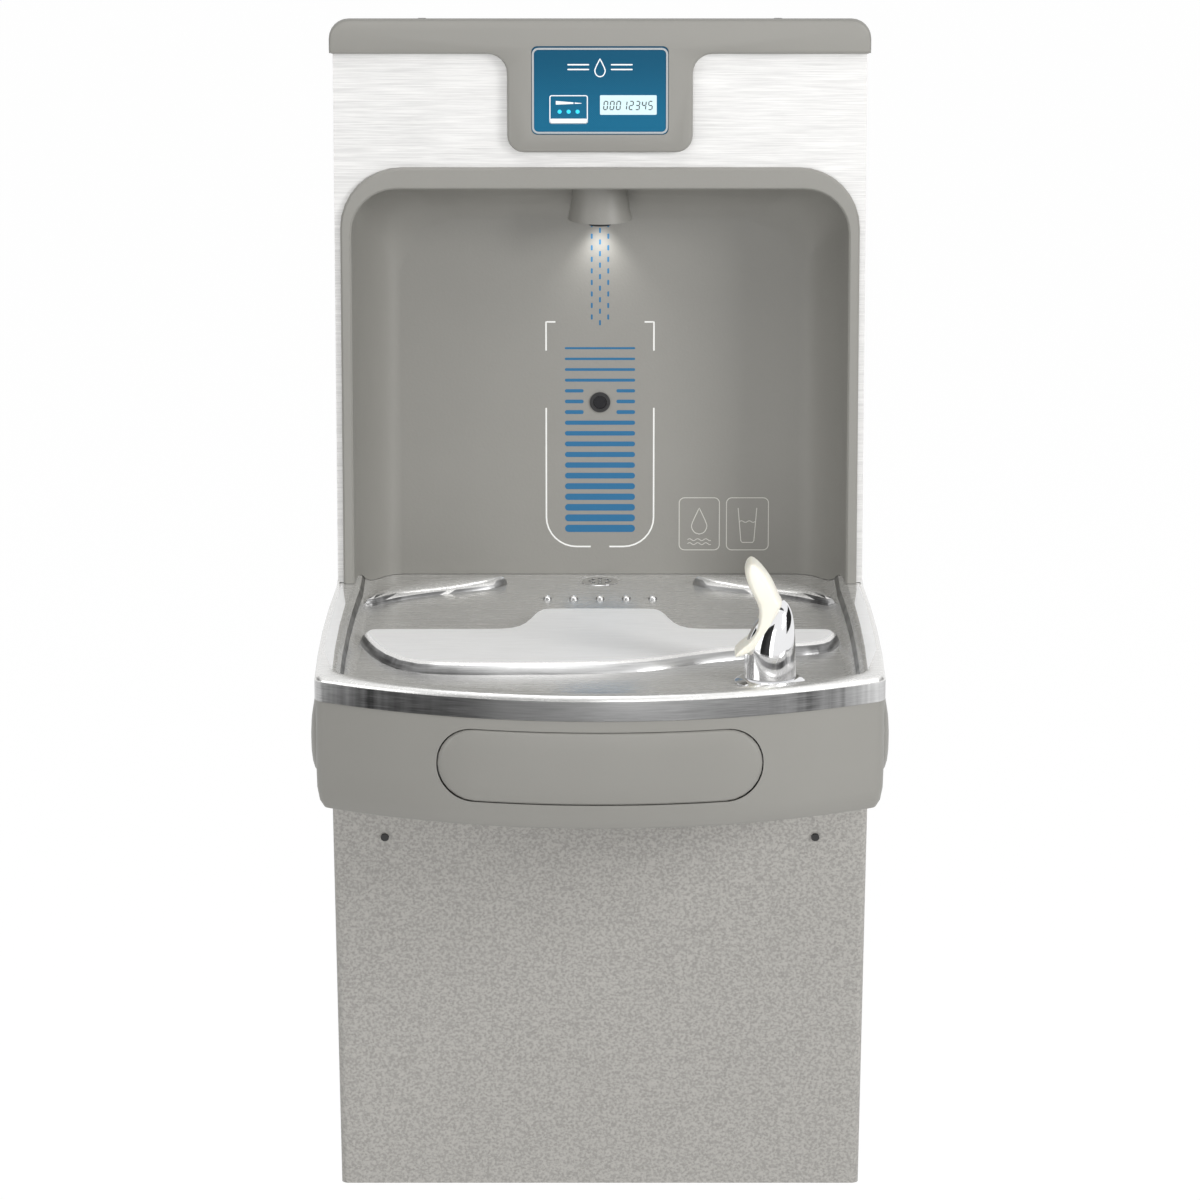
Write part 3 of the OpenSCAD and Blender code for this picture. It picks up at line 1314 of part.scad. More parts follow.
module fan_blade() {
    x = motor_x + motor_l + 2;
    color(white) placed() translate([x, -fan_y, fan_z]) rotate([0, 90, 0]) difference() {
        union() {
            cylinder(r = hub_r, h = hub_l);
            for (i = [0:blades - 1])
                rotate(i * 360 / blades) translate([0, 0, hub_l / 2]) rotate([blade_pitch, 0, 0])
                    translate([0, 0, -blade_t / 2]) linear_extrude(blade_t) intersection() {
                        circle(blade_r);
                        polygon([[hub_r / 2, -hub_r / 3], [blade_r, -hub_r * 1.2], [blade_r + hub_r, 0],
                            [blade_r * 0.9, hub_r * 1.3], [hub_r / 2, hub_r / 3]]);
                    }
        }
        translate([0, 0, -over]) cylinder(r = shaft_r + run_gap, h = hub_l + 2 * over);
    }
}

// Cold tank in its foam, its thermostat and the refrigerant lines
tank_x = -125;
tank_y = 92;
tank_r = 60;
tank_z = [218, 425];
tank_round = 12;
strap = [70, 22];
module cold_tank() {
    color(white) placed() {
        translate([tank_x, -tank_y, 0]) rotate_extrude() polygon(concat(
            [[0, tank_z[0]]],
            arc_pts([tank_r - tank_round, tank_z[0] + tank_round], tank_round, -90, 0, 5),
            arc_pts([tank_r - tank_round, tank_z[1] - tank_round], tank_round, 0, 90, 5),
            [[0, tank_z[1]]]
        ));
        for (z = [tank_z[0] + strap[1], tank_z[1] - 2 * strap[1]])
            block([tank_x - strap[0] / 2, -tank_y + tank_r / 2, z], [tank_x + strap[0] / 2, -panel_t - gap, z + strap[1]]);
    }
}
stat = [26, 34, 44];
module thermostat() {
    color(black) placed() difference() {
        block([tank_x + tank_r - stat[0] / 3, -tank_y - stat[1] / 2, tank_z[1] - 3 * stat[2]],
            [tank_x + tank_r + stat[0], -tank_y + stat[1] / 2, tank_z[1] - 2 * stat[2]]);
        translate([tank_x, -tank_y, 0]) cylinder(r = tank_r + gap, h = tank_z[1]);
    }
}
line_r = 3.2;
drier_r = 9;
module refrigerant_lines() {
    comp_top = comp_low + comp_h;
    color(copper) placed() {
        tube([
            [comp_x - comp_r / 2, -comp_y, comp_top + gap - comp_dome / 8],
            [comp_x - comp_r / 2, -comp_y, comp_top + 22],
            [tank_x + 6, -tank_y, comp_top + 30],
            [tank_x + 6, -tank_y, tank_z[0] - gap]
        ], line_r, tube_bend / 2);
        tube([
            [comp_x + comp_r / 2, -comp_y, comp_top + gap - comp_dome / 8],
            [comp_x + comp_r / 2, -comp_y, coil_z[1] + 16],
            [coil_x[0] + 12, -comp_y, coil_z[1] + 16],
            [coil_x[0] + 12, -comp_y, coil_z[1] + gap]
        ], line_r, tube_bend / 2);
        translate([(coil_x[0] + comp_x) / 2, -comp_y, coil_z[1] + 16]) rotate([0, 90, 0])
            cylinder(r = drier_r, h = 70, center = true);
    }
}

// Filter head on the wall plate, its quarter-turn cartridge, the inlet union and the water tubes
filt_x = 135;
filt_y = 120;
filt_head_r = 38;
filt_z = [212, 384];
filt_head_h = 36;
filt_r = 35;
filt_neck_r = 14;
filt_neck_h = 20;
filt_round = 10;
union_x = 100;
union_y = 41;
union_z = [mount_z - 35, mount_z];
union_w = 18;
inlet_len = 30;
inlet_hole_r = 16;
union_leg = [20, 23];
union_mid = (union_z[0] + union_z[1]) / 2;
module filter_head() {
    z = filt_z[1] + gap;
    color(grey_plastic) placed() difference() {
        union() {
            translate([filt_x, -filt_y, z]) cylinder(r = filt_head_r, h = filt_head_h);
            block([filt_x - filt_head_r / 2, -filt_y, z + filt_head_h / 4],
                [filt_x + filt_head_r / 2, -panel_t - gap, z + filt_head_h * 0.75]);
        }
        translate([filt_x, -filt_y, z - over]) cylinder(r = filt_neck_r + run_gap, h = filt_neck_h + gap + over);
    }
}
module filter_cartridge() {
    color(white) placed() translate([filt_x, -filt_y, 0]) {
        rotate_extrude() polygon(concat(
            [[0, filt_z[0]]],
            arc_pts([filt_r - filt_round, filt_z[0] + filt_round], filt_round, -90, 0, 5),
            arc_pts([filt_r - filt_round / 2, filt_z[1] - filt_round / 2], filt_round / 2, 0, 90, 4),
            [[0, filt_z[1]]]
        ));
        translate([0, 0, filt_z[1] - eps]) cylinder(r = filt_neck_r, h = filt_neck_h);
        for (i = [0:11])
            rotate(i * 30) translate([filt_r - 1, 0, filt_z[0] + 2 * filt_round]) cylinder(r = 2, h = filt_neck_h * 2);
    }
}
module inlet_union() {
    color(zinc) placed() {
        front = -union_y - union_w / 2;
        block([union_x - union_w / 2, front, union_z[0]], [union_x + union_w / 2, front + union_w, union_z[1]]);
        block([union_x - union_leg[1], front, union_mid - union_w / 2], [union_x + union_leg[1], front + union_w / 4, union_mid + union_w / 2]);
        for (s = [-1, 1])
            block([union_x + s * union_leg[0], front, union_mid - union_w / 2],
                [union_x + s * union_leg[1], -panel_t - gap, union_mid + union_w / 2]);
        rod_y(union_x, union_mid, inlet_d / 2, front + union_w - eps, front + union_w + inlet_len);
    }
}
tube_lead = 14;
module supply_tubes() {
    port_z = filt_z[1] + gap + filt_head_h / 2;
    color(white) placed() {
        tube([
            [union_x, -union_y, union_z[1] + gap],
            [union_x, -union_y, union_z[1] + tube_lead],
            [filt_x - filt_head_r - tube_lead, -union_y, union_z[1] + 2 * tube_lead],
            [filt_x - filt_head_r - tube_lead, -union_y, port_z],
            [filt_x - filt_head_r - tube_lead, -filt_y, port_z],
            [filt_x - filt_head_r - gap, -filt_y, port_z]
        ], tube_r, tube_bend / 2);
        tube([
            [filt_x + filt_head_r + gap, -filt_y, port_z],
            [filt_x + filt_head_r + tube_lead, -filt_y, port_z],
            [filt_x + filt_head_r + tube_lead, -filt_y, port_z + 42],
            [tank_x + 30, -filt_y, port_z + 42],
            [tank_x + 30, -tank_y, port_z + 42],
            [tank_x + 30, -tank_y, tank_z[1] + gap]
        ], tube_r, tube_bend / 2);
        tube([
            [tank_x - 25, -tank_y, tank_z[1] + gap],
            [tank_x - 25, -tank_y, tank_z[1] + 12],
            [-tank_valve_x, -valve_d / 2, tank_valve_z - tube_lead],
            [-tank_valve_x, -valve_d / 2, tank_valve_z - gap]
        ], tube_r, tube_bend / 4);
    }
}
gland_h = 9;
module power_inlet() {
    color(black) placed() translate([gland_x, -gland_y, 0]) difference() {
        union() {
            cylinder(r = gland_r, h = gland_h);
            translate([0, 0, pan_t + gap]) cylinder(r = gland_r + 4, h = pan_t);
        }
        translate([0, 0, -over]) cylinder(r = gland_r - 6, h = gland_h + 2 * over);
    }
}

back_panel();
cabinet_frame();
bottom_plate();
lower_shroud();
shroud_screws();
basin();
drain_strainer();
drain_body();
drain_nut();
bubbler_foot();
bubbler_tower();
bubbler_guard();
bubbler_locknut();
apron();
bar_bracket();
front_push_bar();
left_push_bar();
right_push_bar();
front_bar_springs();
left_bar_springs();
right_bar_springs();
bar_switches();
front_plunger();
left_plunger();
right_plunger();
filler_back_plate();
filler_wrapper();
top_cap();
cap_screws();
display_lens();
display_board();
alcove_shell();
fill_nozzle();
nozzle_light();
sensor_bezel();
sensor_window();
sensor_module();
control_box();
solenoid_valves();
filler_tube();
bubbler_tube();
compressor();
compressor_grommets();
start_relay();
condenser();
fan_shroud();
fan_motor();
fan_blade();
cold_tank();
thermostat();
refrigerant_lines();
filter_head();
filter_cartridge();
inlet_union();
supply_tubes();
power_inlet();
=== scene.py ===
import json
import math

import bmesh
import bpy
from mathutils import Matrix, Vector
from mathutils.bvhtree import BVHTree


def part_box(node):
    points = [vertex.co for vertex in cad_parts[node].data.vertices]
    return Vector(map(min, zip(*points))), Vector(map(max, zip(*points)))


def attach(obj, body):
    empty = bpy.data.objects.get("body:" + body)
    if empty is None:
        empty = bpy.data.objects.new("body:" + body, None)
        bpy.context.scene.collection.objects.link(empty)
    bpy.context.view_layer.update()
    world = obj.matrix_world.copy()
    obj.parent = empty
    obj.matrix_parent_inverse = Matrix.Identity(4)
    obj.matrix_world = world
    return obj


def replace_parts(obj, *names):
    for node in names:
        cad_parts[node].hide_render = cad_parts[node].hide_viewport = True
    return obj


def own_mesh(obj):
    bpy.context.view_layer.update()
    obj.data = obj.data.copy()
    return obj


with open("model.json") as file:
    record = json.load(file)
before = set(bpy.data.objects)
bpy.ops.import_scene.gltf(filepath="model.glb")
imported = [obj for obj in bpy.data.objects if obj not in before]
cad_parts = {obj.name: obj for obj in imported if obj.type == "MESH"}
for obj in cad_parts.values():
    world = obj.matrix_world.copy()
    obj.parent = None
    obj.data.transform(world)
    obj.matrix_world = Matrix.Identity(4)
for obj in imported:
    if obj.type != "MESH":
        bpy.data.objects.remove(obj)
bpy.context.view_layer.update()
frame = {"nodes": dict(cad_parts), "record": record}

nodes = frame["nodes"]
mm = 0.001
weld = 0.002 * mm  # points nearer than this are one
wallMount = 335 * mm  # height of the frame's zero above the underside


class Wire:  # a shader socket that adds, scales and compares like a number
    def __init__(self, tree, out):
        self.tree, self.out = tree, out

    def make(self, kind, settings=None, values=None, outlet=0):
        node = self.tree.nodes.new(kind)
        for key, value in (settings or {}).items():
            if key == "stops":
                ramp = node.color_ramp
                while len(ramp.elements) < len(value):
                    ramp.elements.new(0.5)
                for stop, (place, tone) in zip(ramp.elements, value):
                    stop.position, stop.color = place, (*tone, 1)
            else:
                setattr(node, key, value)
        for key, value in (values or {}).items():
            if isinstance(value, Wire):
                self.tree.links.new(value.out, node.inputs[key])
            else:
                node.inputs[key].default_value = value
        return Wire(self.tree, node.outputs[outlet])

    def math(self, operation, *others):
        values = dict(enumerate((self, *others)))
        return self.make("ShaderNodeMath", {"operation": operation}, values)

    def __add__(self, other): return self.math("ADD", other)
    def __radd__(self, other): return self.math("ADD", other)
    def __sub__(self, other): return self.math("SUBTRACT", other)
    def __rsub__(self, other): return (self * -1) + other
    def __mul__(self, other): return self.math("MULTIPLY", other)
    def __rmul__(self, other): return self.math("MULTIPLY", other)
    def __truediv__(self, other): return self.math("DIVIDE", other)
    def __lt__(self, other): return self.math("LESS_THAN", other)

    def clip(self):
        return self.make("ShaderNodeClamp", {}, {"Value": self})

    def band(self, low, high):  # 0 below low, 1 above high, smooth between
        return self.make("ShaderNodeMapRange", {"interpolation_type": "SMOOTHSTEP"},
                         {"Value": self, "From Min": low, "From Max": high})

    def tint(self, dark, light):  # mixes two colours by this value
        return self.make("ShaderNodeMix", {"data_type": "RGBA"},
                         {"Factor": self, "A": (*dark, 1), "B": (*light, 1)}, 2)


class Finish:  # one procedural material on the Principled shader
    def __init__(self, name, colour, rough, metal=0.0, **constants):
        self.mat = bpy.data.materials.new(name)
        self.mat.use_nodes = True
        self.tree = self.mat.node_tree
        self.shader = self.tree.nodes["Principled BSDF"]
        self.shader.inputs["Base Color"].default_value = (*colour, 1)
        self.shader.inputs["Roughness"].default_value = rough
        self.shader.inputs["Metallic"].default_value = metal
        for key, value in constants.items():
            self.shader.inputs[key.replace("_", " ")].default_value = value
        self.mat.diffuse_color = (*colour, 1)
        self.wire = Wire(self.tree, None)
        self.place = self.wire.make("ShaderNodeTexCoord", outlet="Object")

    def stretched(self, scale, turn=(0, 0, 0)):
        return self.wire.make("ShaderNodeMapping", {},
                              {"Vector": self.place, "Scale": scale, "Rotation": turn})

    def noise(self, scale, detail=3, rough=0.55, place=None):
        return self.wire.make("ShaderNodeTexNoise", {}, {
            "Vector": place or self.place, "Scale": scale, "Detail": detail, "Roughness": rough})

    def cells(self, scale, feature="F1"):
        return self.wire.make("ShaderNodeTexVoronoi", {"feature": feature},
                              {"Vector": self.place, "Scale": scale})

    def axes(self):
        split = self.wire.make("ShaderNodeSeparateXYZ", {}, {"Vector": self.place})
        outs = split.out.node.outputs
        return [Wire(self.tree, outs[i]) for i in range(3)]

    def feed(self, socket, value):
        self.tree.links.new(value.out, self.shader.inputs[socket])
        return self

    def bump(self, height, depth):
        return self.feed("Normal", self.wire.make(
            "ShaderNodeBump", {}, {"Height": height, "Distance": depth, "Strength": 1.0}))


def shade(tone, factor):
    return tuple(min(1.0, c * factor) for c in tone)


def mouldedPlastic(name, colour, rough=0.42, grain=900, depth=0.05 * mm):
    f = Finish(name, colour, rough)
    fine = f.noise(grain, 2)
    cloud = f.noise(9, 2)
    f.feed("Base Color", (fine * 0.35 + cloud * 0.65).tint(shade(colour, 0.95), shade(colour, 1.05)))
    f.feed("Roughness", fine * 0.12 + (rough - 0.06))
    return f.bump(fine, depth).mat


def brushedSteel(name, colour, rough, low, high, fine, coarse, metal, bent=False):  # brushed along X
    f = Finish(name, colour, rough, metal)
    if bent:  # the grain follows the sheet round its upright bends
        x, y, z = f.axes()
        f.place = f.wire.make("ShaderNodeCombineXYZ", {}, {"X": x + y, "Z": z})
    hair = f.noise(fine, 3, 0.6, f.stretched((0.018, 1, 1)))
    streak = f.noise(coarse, 4, 0.7, f.stretched((0.05, 1, 1)))
    mixed = hair * 0.6 + streak * 0.4
    f.feed("Base Color", mixed.band(0.3, 0.7).tint(shade(colour, low), shade(colour, high)))
    f.feed("Roughness", mixed * 0.16 + (rough - 0.08))
    return f.bump(hair, 0.01 * mm).mat


def platedMetal(name, colour, rough=0.06):
    f = Finish(name, colour, rough, 1.0)
    smear = f.noise(40, 3)
    f.feed("Base Color", smear.tint(shade(colour, 0.97), shade(colour, 1.02)))
    return f.feed("Roughness", smear * 0.05 + (rough - 0.02)).mat


def zincSheet(name, colour, rough=0.38):
    f = Finish(name, colour, rough, 0.85)
    spangle = f.cells(110)
    rolled = f.noise(300, 3, 0.6, f.stretched((1, 1, 0.1)))
    f.feed("Base Color", (spangle * 0.6 + rolled * 0.4).tint(shade(colour, 0.86), shade(colour, 1.06)))
    return f.feed("Roughness", spangle * 0.14 + (rough - 0.05)).mat


def pebbledVinyl(name, colour, rough=0.5):
    f = Finish(name, colour, rough)
    pebble = f.cells(380)
    blotch = f.noise(390, 3, 0.6)
    cloud = f.noise(5, 2)
    tone = blotch.band(0.42, 0.58) * 0.6 + pebble.band(0.1, 0.75) * 0.25 + cloud * 0.15
    f.feed("Base Color", tone.tint(shade(colour, 0.72), shade(colour, 1.16)))
    f.feed("Roughness", blotch * 0.14 + (rough - 0.07))
    return f.bump(blotch * 0.5 + pebble * 0.5, 0.12 * mm).mat


def enamel(name, colour, rough):
    f = Finish(name, colour, rough, Coat_Weight=0.2)
    peel = f.noise(420, 2)
    f.feed("Base Color", peel.tint(shade(colour, 0.85), shade(colour, 1.2)))
    f.feed("Roughness", peel * 0.14 + (rough - 0.07))
    return f.bump(peel, 0.03 * mm).mat


def softPolymer(name, colour, rough, subsurface=0.0):
    f = Finish(name, colour, rough, Subsurface_Weight=subsurface, Subsurface_Radius=(0.004, 0.003, 0.002))
    skin = f.noise(700, 2)
    cloud = f.noise(60, 2)
    f.feed("Base Color", cloud.tint(shade(colour, 0.96), shade(colour, 1.03)))
    f.feed("Roughness", skin * 0.12 + (rough - 0.06))
    return f.bump(skin, 0.02 * mm).mat


def barePipe(name, colour, rough=0.28):
    f = Finish(name, colour, rough, 1.0)
    stain = f.noise(70, 4, 0.65)
    f.feed("Base Color", stain.band(0.3, 0.75).tint(shade(colour, 0.72), shade(colour, 1.06)))
    return f.feed("Roughness", stain * 0.2 + (rough - 0.1)).mat


def foamJacket(name, colour):
    f = Finish(name, colour, 0.85)
    pore = f.cells(330)
    cloud = f.noise(30, 3)
    f.feed("Base Color", (pore * 0.5 + cloud * 0.5).tint(shade(colour, 0.8), shade(colour, 1.04)))
    return f.bump(pore, 0.3 * mm).mat


def circuitBoard(name, colour):
    f = Finish(name, colour, 0.35)
    tracks = f.cells(160, "DISTANCE_TO_EDGE")
    f.feed("Base Color", tracks.band(0.02, 0.06).tint(shade(colour, 2.0), colour))
    return f.feed("Roughness", tracks * 0.2 + 0.3).mat


def darkGlass(name, colour, rough=0.12):
    f = Finish(name, colour, rough, Coat_Weight=0.3, Specular_IOR_Level=0.3)
    sheen = f.noise(20, 2)
    f.feed("Base Color", sheen.tint(shade(colour, 0.94), shade(colour, 1.05)))
    return f.feed("Roughness", sheen * 0.04 + (rough - 0.02)).mat


def litScreen(name, upper, lower, middle, reach, rough=0.3):  # a fine dot weave that shows lower down
    f = Finish(name, upper, rough, Specular_IOR_Level=0.12)
    x, y, z = f.axes()
    fall = (z * -1 + middle).band(-reach, reach)
    dots = f.wire.make("ShaderNodeTexVoronoi", {}, {
        "Vector": f.stretched((1, 0, 1), (0, math.radians(45), 0)), "Scale": 820, "Randomness": 0.0})
    weave = (dots < 0.34) * fall
    light = f.wire.make("ShaderNodeMix", {"data_type": "RGBA"}, {
        "Factor": weave * 0.55, "A": fall.tint(upper, lower), "B": (*shade(lower, 1.7), 1)}, 2)
    f.feed("Base Color", light)
    return f.feed("Roughness", dots * 0.04 + rough).mat


def printedInk(name, colour, rough=0.5, glow=0.0):
    f = Finish(name, colour, rough, Specular_IOR_Level=0.2, Emission_Strength=glow)
    f.shader.inputs["Emission Color"].default_value = (*colour, 1)
    mottle = f.noise(800, 2)
    f.feed("Base Color", mottle.tint(shade(colour, 0.93), shade(colour, 1.03)))
    return f.feed("Roughness", mottle * 0.1 + (rough - 0.05)).mat


skirtPaintedReflection = [(x, (v, v, v)) for x, v in (  # painted reflection across the skirt from left to right, dark near the corners and lighter in the middle
    (0.0, 0.75), (0.035, 0.6), (0.08, 0.16), (0.24, 0.26), (0.34, 0.62), (0.5, 0.62),
    (0.64, 0.66), (0.76, 0.34), (0.90, 0.14), (0.955, 0.62), (1.0, 0.8))]


def skirtSteelPaintedReflection(name, colour, rough, halfWidth):  # painted reflection: the corners are darker and the middle lighter; the corners are brushed upright
    f = Finish(name, colour, rough, 1.0)
    x, y, z = f.axes()
    side = (x * x / (halfWidth * halfWidth)).band(0.1, 1.0)
    ray = f.noise(55, 3, 0.7, f.stretched((1, 1, 0.02)))
    hair = f.noise(1300, 3, 0.6, f.stretched((0.03, 0.03, 1)))
    paintedReflection = f.wire.make("ShaderNodeValToRGB", {"stops": skirtPaintedReflection}, {0: x * (0.5 / halfWidth) + 0.5})
    tone = (paintedReflection + (ray - 0.5) * side * 1.6 + (hair - 0.5) * 0.5).clip()
    f.feed("Base Color", tone.tint(shade(colour, 0.12), shade(colour, 1.1)))
    return f.feed("Roughness", hair * 0.16 + (rough - 0.08)).mat


greys = {"moulding": (0.262, 0.256, 0.236), "vinyl": (0.385, 0.373, 0.35)}
finishes = {
    "galvanised": zincSheet("galvanisedSheet", (0.60, 0.61, 0.61)),
    "vinyl_steel": pebbledVinyl("pebbledVinyl", greys["vinyl"]),
    "black_steel": enamel("blackEnamel", (0.012, 0.012, 0.012), 0.5),
    "stainless": brushedSteel("pressedStainless", (0.80, 0.795, 0.78), rough=0.26, low=0.88, high=1.08,
                              fine=1500, coarse=260, metal=0.68),
    "panel_steel": brushedSteel("brushedPanel", (0.76, 0.755, 0.745), rough=0.5, low=0.80, high=1.10,
                                fine=1100, coarse=330, metal=0.3, bent=True),
    "chrome": platedMetal("chromePlate", (0.86, 0.86, 0.87)),
    "ivory_rubber": softPolymer("ivoryPolymer", (0.88, 0.855, 0.755), 0.35, 0.1),
    "black_rubber": softPolymer("blackRubber", (0.02, 0.02, 0.02), 0.6),
    "grey_plastic": mouldedPlastic("greyMoulding", greys["moulding"]),
    "bar_plastic": mouldedPlastic("pushBarMoulding", shade(greys["moulding"], 0.98)),
    "alcove_plastic": mouldedPlastic("alcoveMoulding", greys["moulding"], 0.46, grain=420, depth=0.12 * mm),
    "black_plastic": mouldedPlastic("blackMoulding", (0.015, 0.015, 0.016), 0.4),
    "black_gloss": darkGlass("sensorGlass", (0.008, 0.008, 0.01)),
    "white_plastic": mouldedPlastic("whiteMoulding", (0.78, 0.78, 0.76), 0.38),
    "white_tube": softPolymer("whiteTube", (0.78, 0.79, 0.78), 0.3, 0.1),
    "display_blue": litScreen("blueScreen", (0.0012, 0.076, 0.150), (0.003, 0.105, 0.200),
                              middle=0.6072, reach=0.034),
    "circuit_green": circuitBoard("circuitBoard", (0.02, 0.12, 0.05)),
    "light_diffuser": softPolymer("milkyDiffuser", (0.9, 0.92, 0.94), 0.3, 0.2),
    "box_plastic": mouldedPlastic("greyHousing", (0.20, 0.20, 0.20), 0.5),
    "spring_wire": barePipe("springWire", (0.55, 0.55, 0.56), 0.25),
    "foam": foamJacket("foamJacket", (0.80, 0.76, 0.62)),
    "copper": barePipe("copperTube", (0.80, 0.40, 0.25)),
    "brass": barePipe("brassFitting", (0.78, 0.60, 0.30)),
}
slotOf = {part["node"]: part["material_slot"] for part in frame["record"]["subparts"]}


def dress(obj, mat):
    obj.data.materials.clear()
    obj.data.materials.append(mat)
    for face in obj.data.polygons:
        face.material_index = 0


for name, node in nodes.items():
    dress(node, finishes[slotOf[name]])
print("finishes on", len(nodes), "nodes")


def linked(name, bm):  # an object in the scene with this mesh
    mesh = bpy.data.meshes.new(name)
    bm.to_mesh(mesh)
    bm.free()
    obj = bpy.data.objects.new(name, mesh)
    bpy.context.scene.collection.objects.link(obj)
    return obj


def newPiece(name, bm, body, slot, mat=None):
    obj = linked(name, bm)
    dress(obj, mat or finishes[slot])
    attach(obj, body)
    return obj


def markSharp(bm, degrees=32):
    for edge in bm.edges:
        edge.smooth = len(edge.link_faces) == 2 and edge.calc_face_angle(0) < math.radians(degrees)
    for face in bm.faces:
        face.smooth = True


def rowZ(height):  # from millimetres above the underside to the frame's own height
    return height * mm - wallMount


def bodyOf(name):
    bodies = frame["record"]["behaviour"]["bodies"]
    return next(body for body, members in bodies.items() if name in members)


def welded(name):  # a copy of a node's own shape, with its doubles merged
    bm = bmesh.new()
    bm.from_mesh(nodes[name].data)
    bmesh.ops.remove_doubles(bm, verts=bm.verts, dist=weld)
    return bm


softEdges = {  # width in millimetres and segments; zero only evens the shading
    "top_cap": (1.6, 4), "front_push_bar": (0.8, 3), "left_push_bar": (0.8, 3), "right_push_bar": (0.8, 3),
    "lower_shroud": (0.5, 2), "filler_wrapper": (0.8, 3), "bubbler_foot": (0.4, 2),
    "drain_strainer": (0.3, 2), "sensor_bezel": (0.2, 2),
    "alcove_shell": (0, 0), "basin": (0, 0), "apron": (0, 0), "fill_nozzle": (0, 0),
}
easing = {"flat": math.radians(0.4), "corner": math.radians(40), "weight": 60}


def softened(name, width, segments):
    bm = welded(name)
    if width:
        bmesh.ops.dissolve_limit(bm, angle_limit=easing["flat"], verts=bm.verts, edges=bm.edges)
    markSharp(bm)
    obj = newPiece(name + "_skin", bm, bodyOf(name), slotOf[name])
    if width:
        bevel = obj.modifiers.new("easedEdges", "BEVEL")
        bevel.width, bevel.segments, bevel.limit_method = width * mm, segments, "ANGLE"
        bevel.angle_limit, bevel.harden_normals = easing["corner"], True
    else:
        even = obj.modifiers.new("evenNormals", "WEIGHTED_NORMAL")
        even.keep_sharp, even.weight = True, easing["weight"]
    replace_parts(obj, name)
    return obj


skins = {name: softened(name, *ease) for name, ease in softEdges.items()}
print("eased pieces", len(skins))


springSeats = {"front": (1, 1), "left": (0, 1), "right": (0, 0)}  # the axis, and which end of it stays put


def shortening(bar):  # a bar's springs, a welded copy of their shape on their own body
    name = bar + "_bar_springs"
    bm = welded(name)
    markSharp(bm, 60)
    obj = newPiece(name + "_skin", bm, bodyOf(name), slotOf[name])
    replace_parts(obj, name)
    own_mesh(obj)


for bar, (axis, fixed) in springSeats.items():
    shortening(bar)


pressed = {  # which of the basin's faces are the skirt's and which the platform's
    "skirtLow": rowZ(498), "skirtHigh": rowZ(514.6), "upright": 0.5,
    "topAbove": rowZ(511.5), "rear": -0.160, "front": -0.360, "level": 0.97,
}


def zoneBasin(obj):  # the skirt gets a painted reflection, darker near its corners, and the platform's top a lighter, less metallic copy of the stainless as painted sheen; both are brushed otherwise than the bowl
    obj.data.materials.append(skirtSteelPaintedReflection("skirtSteelPaintedReflection", (0.60, 0.60, 0.60), rough=0.34, halfWidth=0.2295))
    # the platform's top: a lighter, less metallic copy of the stainless, painted sheen
    obj.data.materials.append(brushedSteel("platformSteelPaintedSheen", (0.96, 0.96, 0.955), rough=0.5,
                                           low=0.90, high=1.04, fine=1500, coarse=900, metal=0.1))
    for face in obj.data.polygons:
        y, z, up = face.center.y, face.center.z, face.normal.z
        if abs(up) < pressed["upright"] and pressed["skirtLow"] < z < pressed["skirtHigh"]:
            face.material_index = 1
        elif up > pressed["level"] and z > pressed["topAbove"] and pressed["front"] < y < pressed["rear"]:
            face.material_index = 2


zoneBasin(skins["basin"])


def splineLoop(points, steps, closed=True):  # a smooth path through the points
    n = len(points)
    out = []
    for i in range(n if closed else n - 1):
        if closed:
            a, b, c, d = (Vector(points[(i + k) % n]) for k in (-1, 0, 1, 2))
        else:
            a, b, c, d = (Vector(points[min(max(i + k, 0), n - 1)]) for k in (-1, 0, 1, 2))
        for k in range(steps):
            t = k / steps
            out.append(0.5 * (2 * b + (c - a) * t + (2 * a - 5 * b + 4 * c - d) * t * t
                              + (3 * b - a - 3 * c + d) * t ** 3))
    return out if closed else out + [Vector(points[-1])]


def loftRings(bm, rings):  # closed loops of equal length joined in turn, with both ends capped
    rows = [[bm.verts.new(p) for p in ring] for ring in rings]
    n = len(rows[0])
    for low, high in zip(rows, rows[1:]):
        for i in range(n):
            bm.faces.new((low[i], low[(i + 1) % n], high[(i + 1) % n], high[i]))
    for row in (rows[0], rows[-1]):
        bm.faces.new(row)
    bmesh.ops.recalc_face_normals(bm, faces=bm.faces)


tower = {  # each ring is a share of the height, a radius and a shift to the right
    "at": (0.137, -0.374), "foot": rowZ(508.5), "height": 63 * mm, "squash": 0.92, "sides": 72,
    "rings": [(0, 21, 0), (0.22, 20.8, 0), (0.45, 19.8, 0.6), (0.66, 16.6, 3), (0.83, 11.6, 6),
              (0.94, 6.6, 8), (1, 2, 9)],
    "jet": (8, -7.6, 56), "lipSteps": 32,
    "lip": [(0.9, -0.3), (2.4, -0.35), (2.75, 0.0), (2.4, 0.35), (0.9, 0.3)],
}


def buildTower():
    cx, cy = tower["at"]
    turns = [2 * math.pi * i / tower["sides"] for i in range(tower["sides"])]
    rings = []
    for share, radius, shift in splineLoop(tower["rings"], 6, False):
        z = tower["foot"] + tower["height"] * min(share, 1)
        rings.append([(cx + (shift + radius * math.cos(a)) * mm,
                       cy + radius * tower["squash"] * math.sin(a) * mm, z) for a in turns])
    bm = bmesh.new()
    loftRings(bm, rings)
    markSharp(bm, 40)
    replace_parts(newPiece("bubbler_tower_skin", bm, "station", slotOf["bubbler_tower"]), "bubbler_tower")


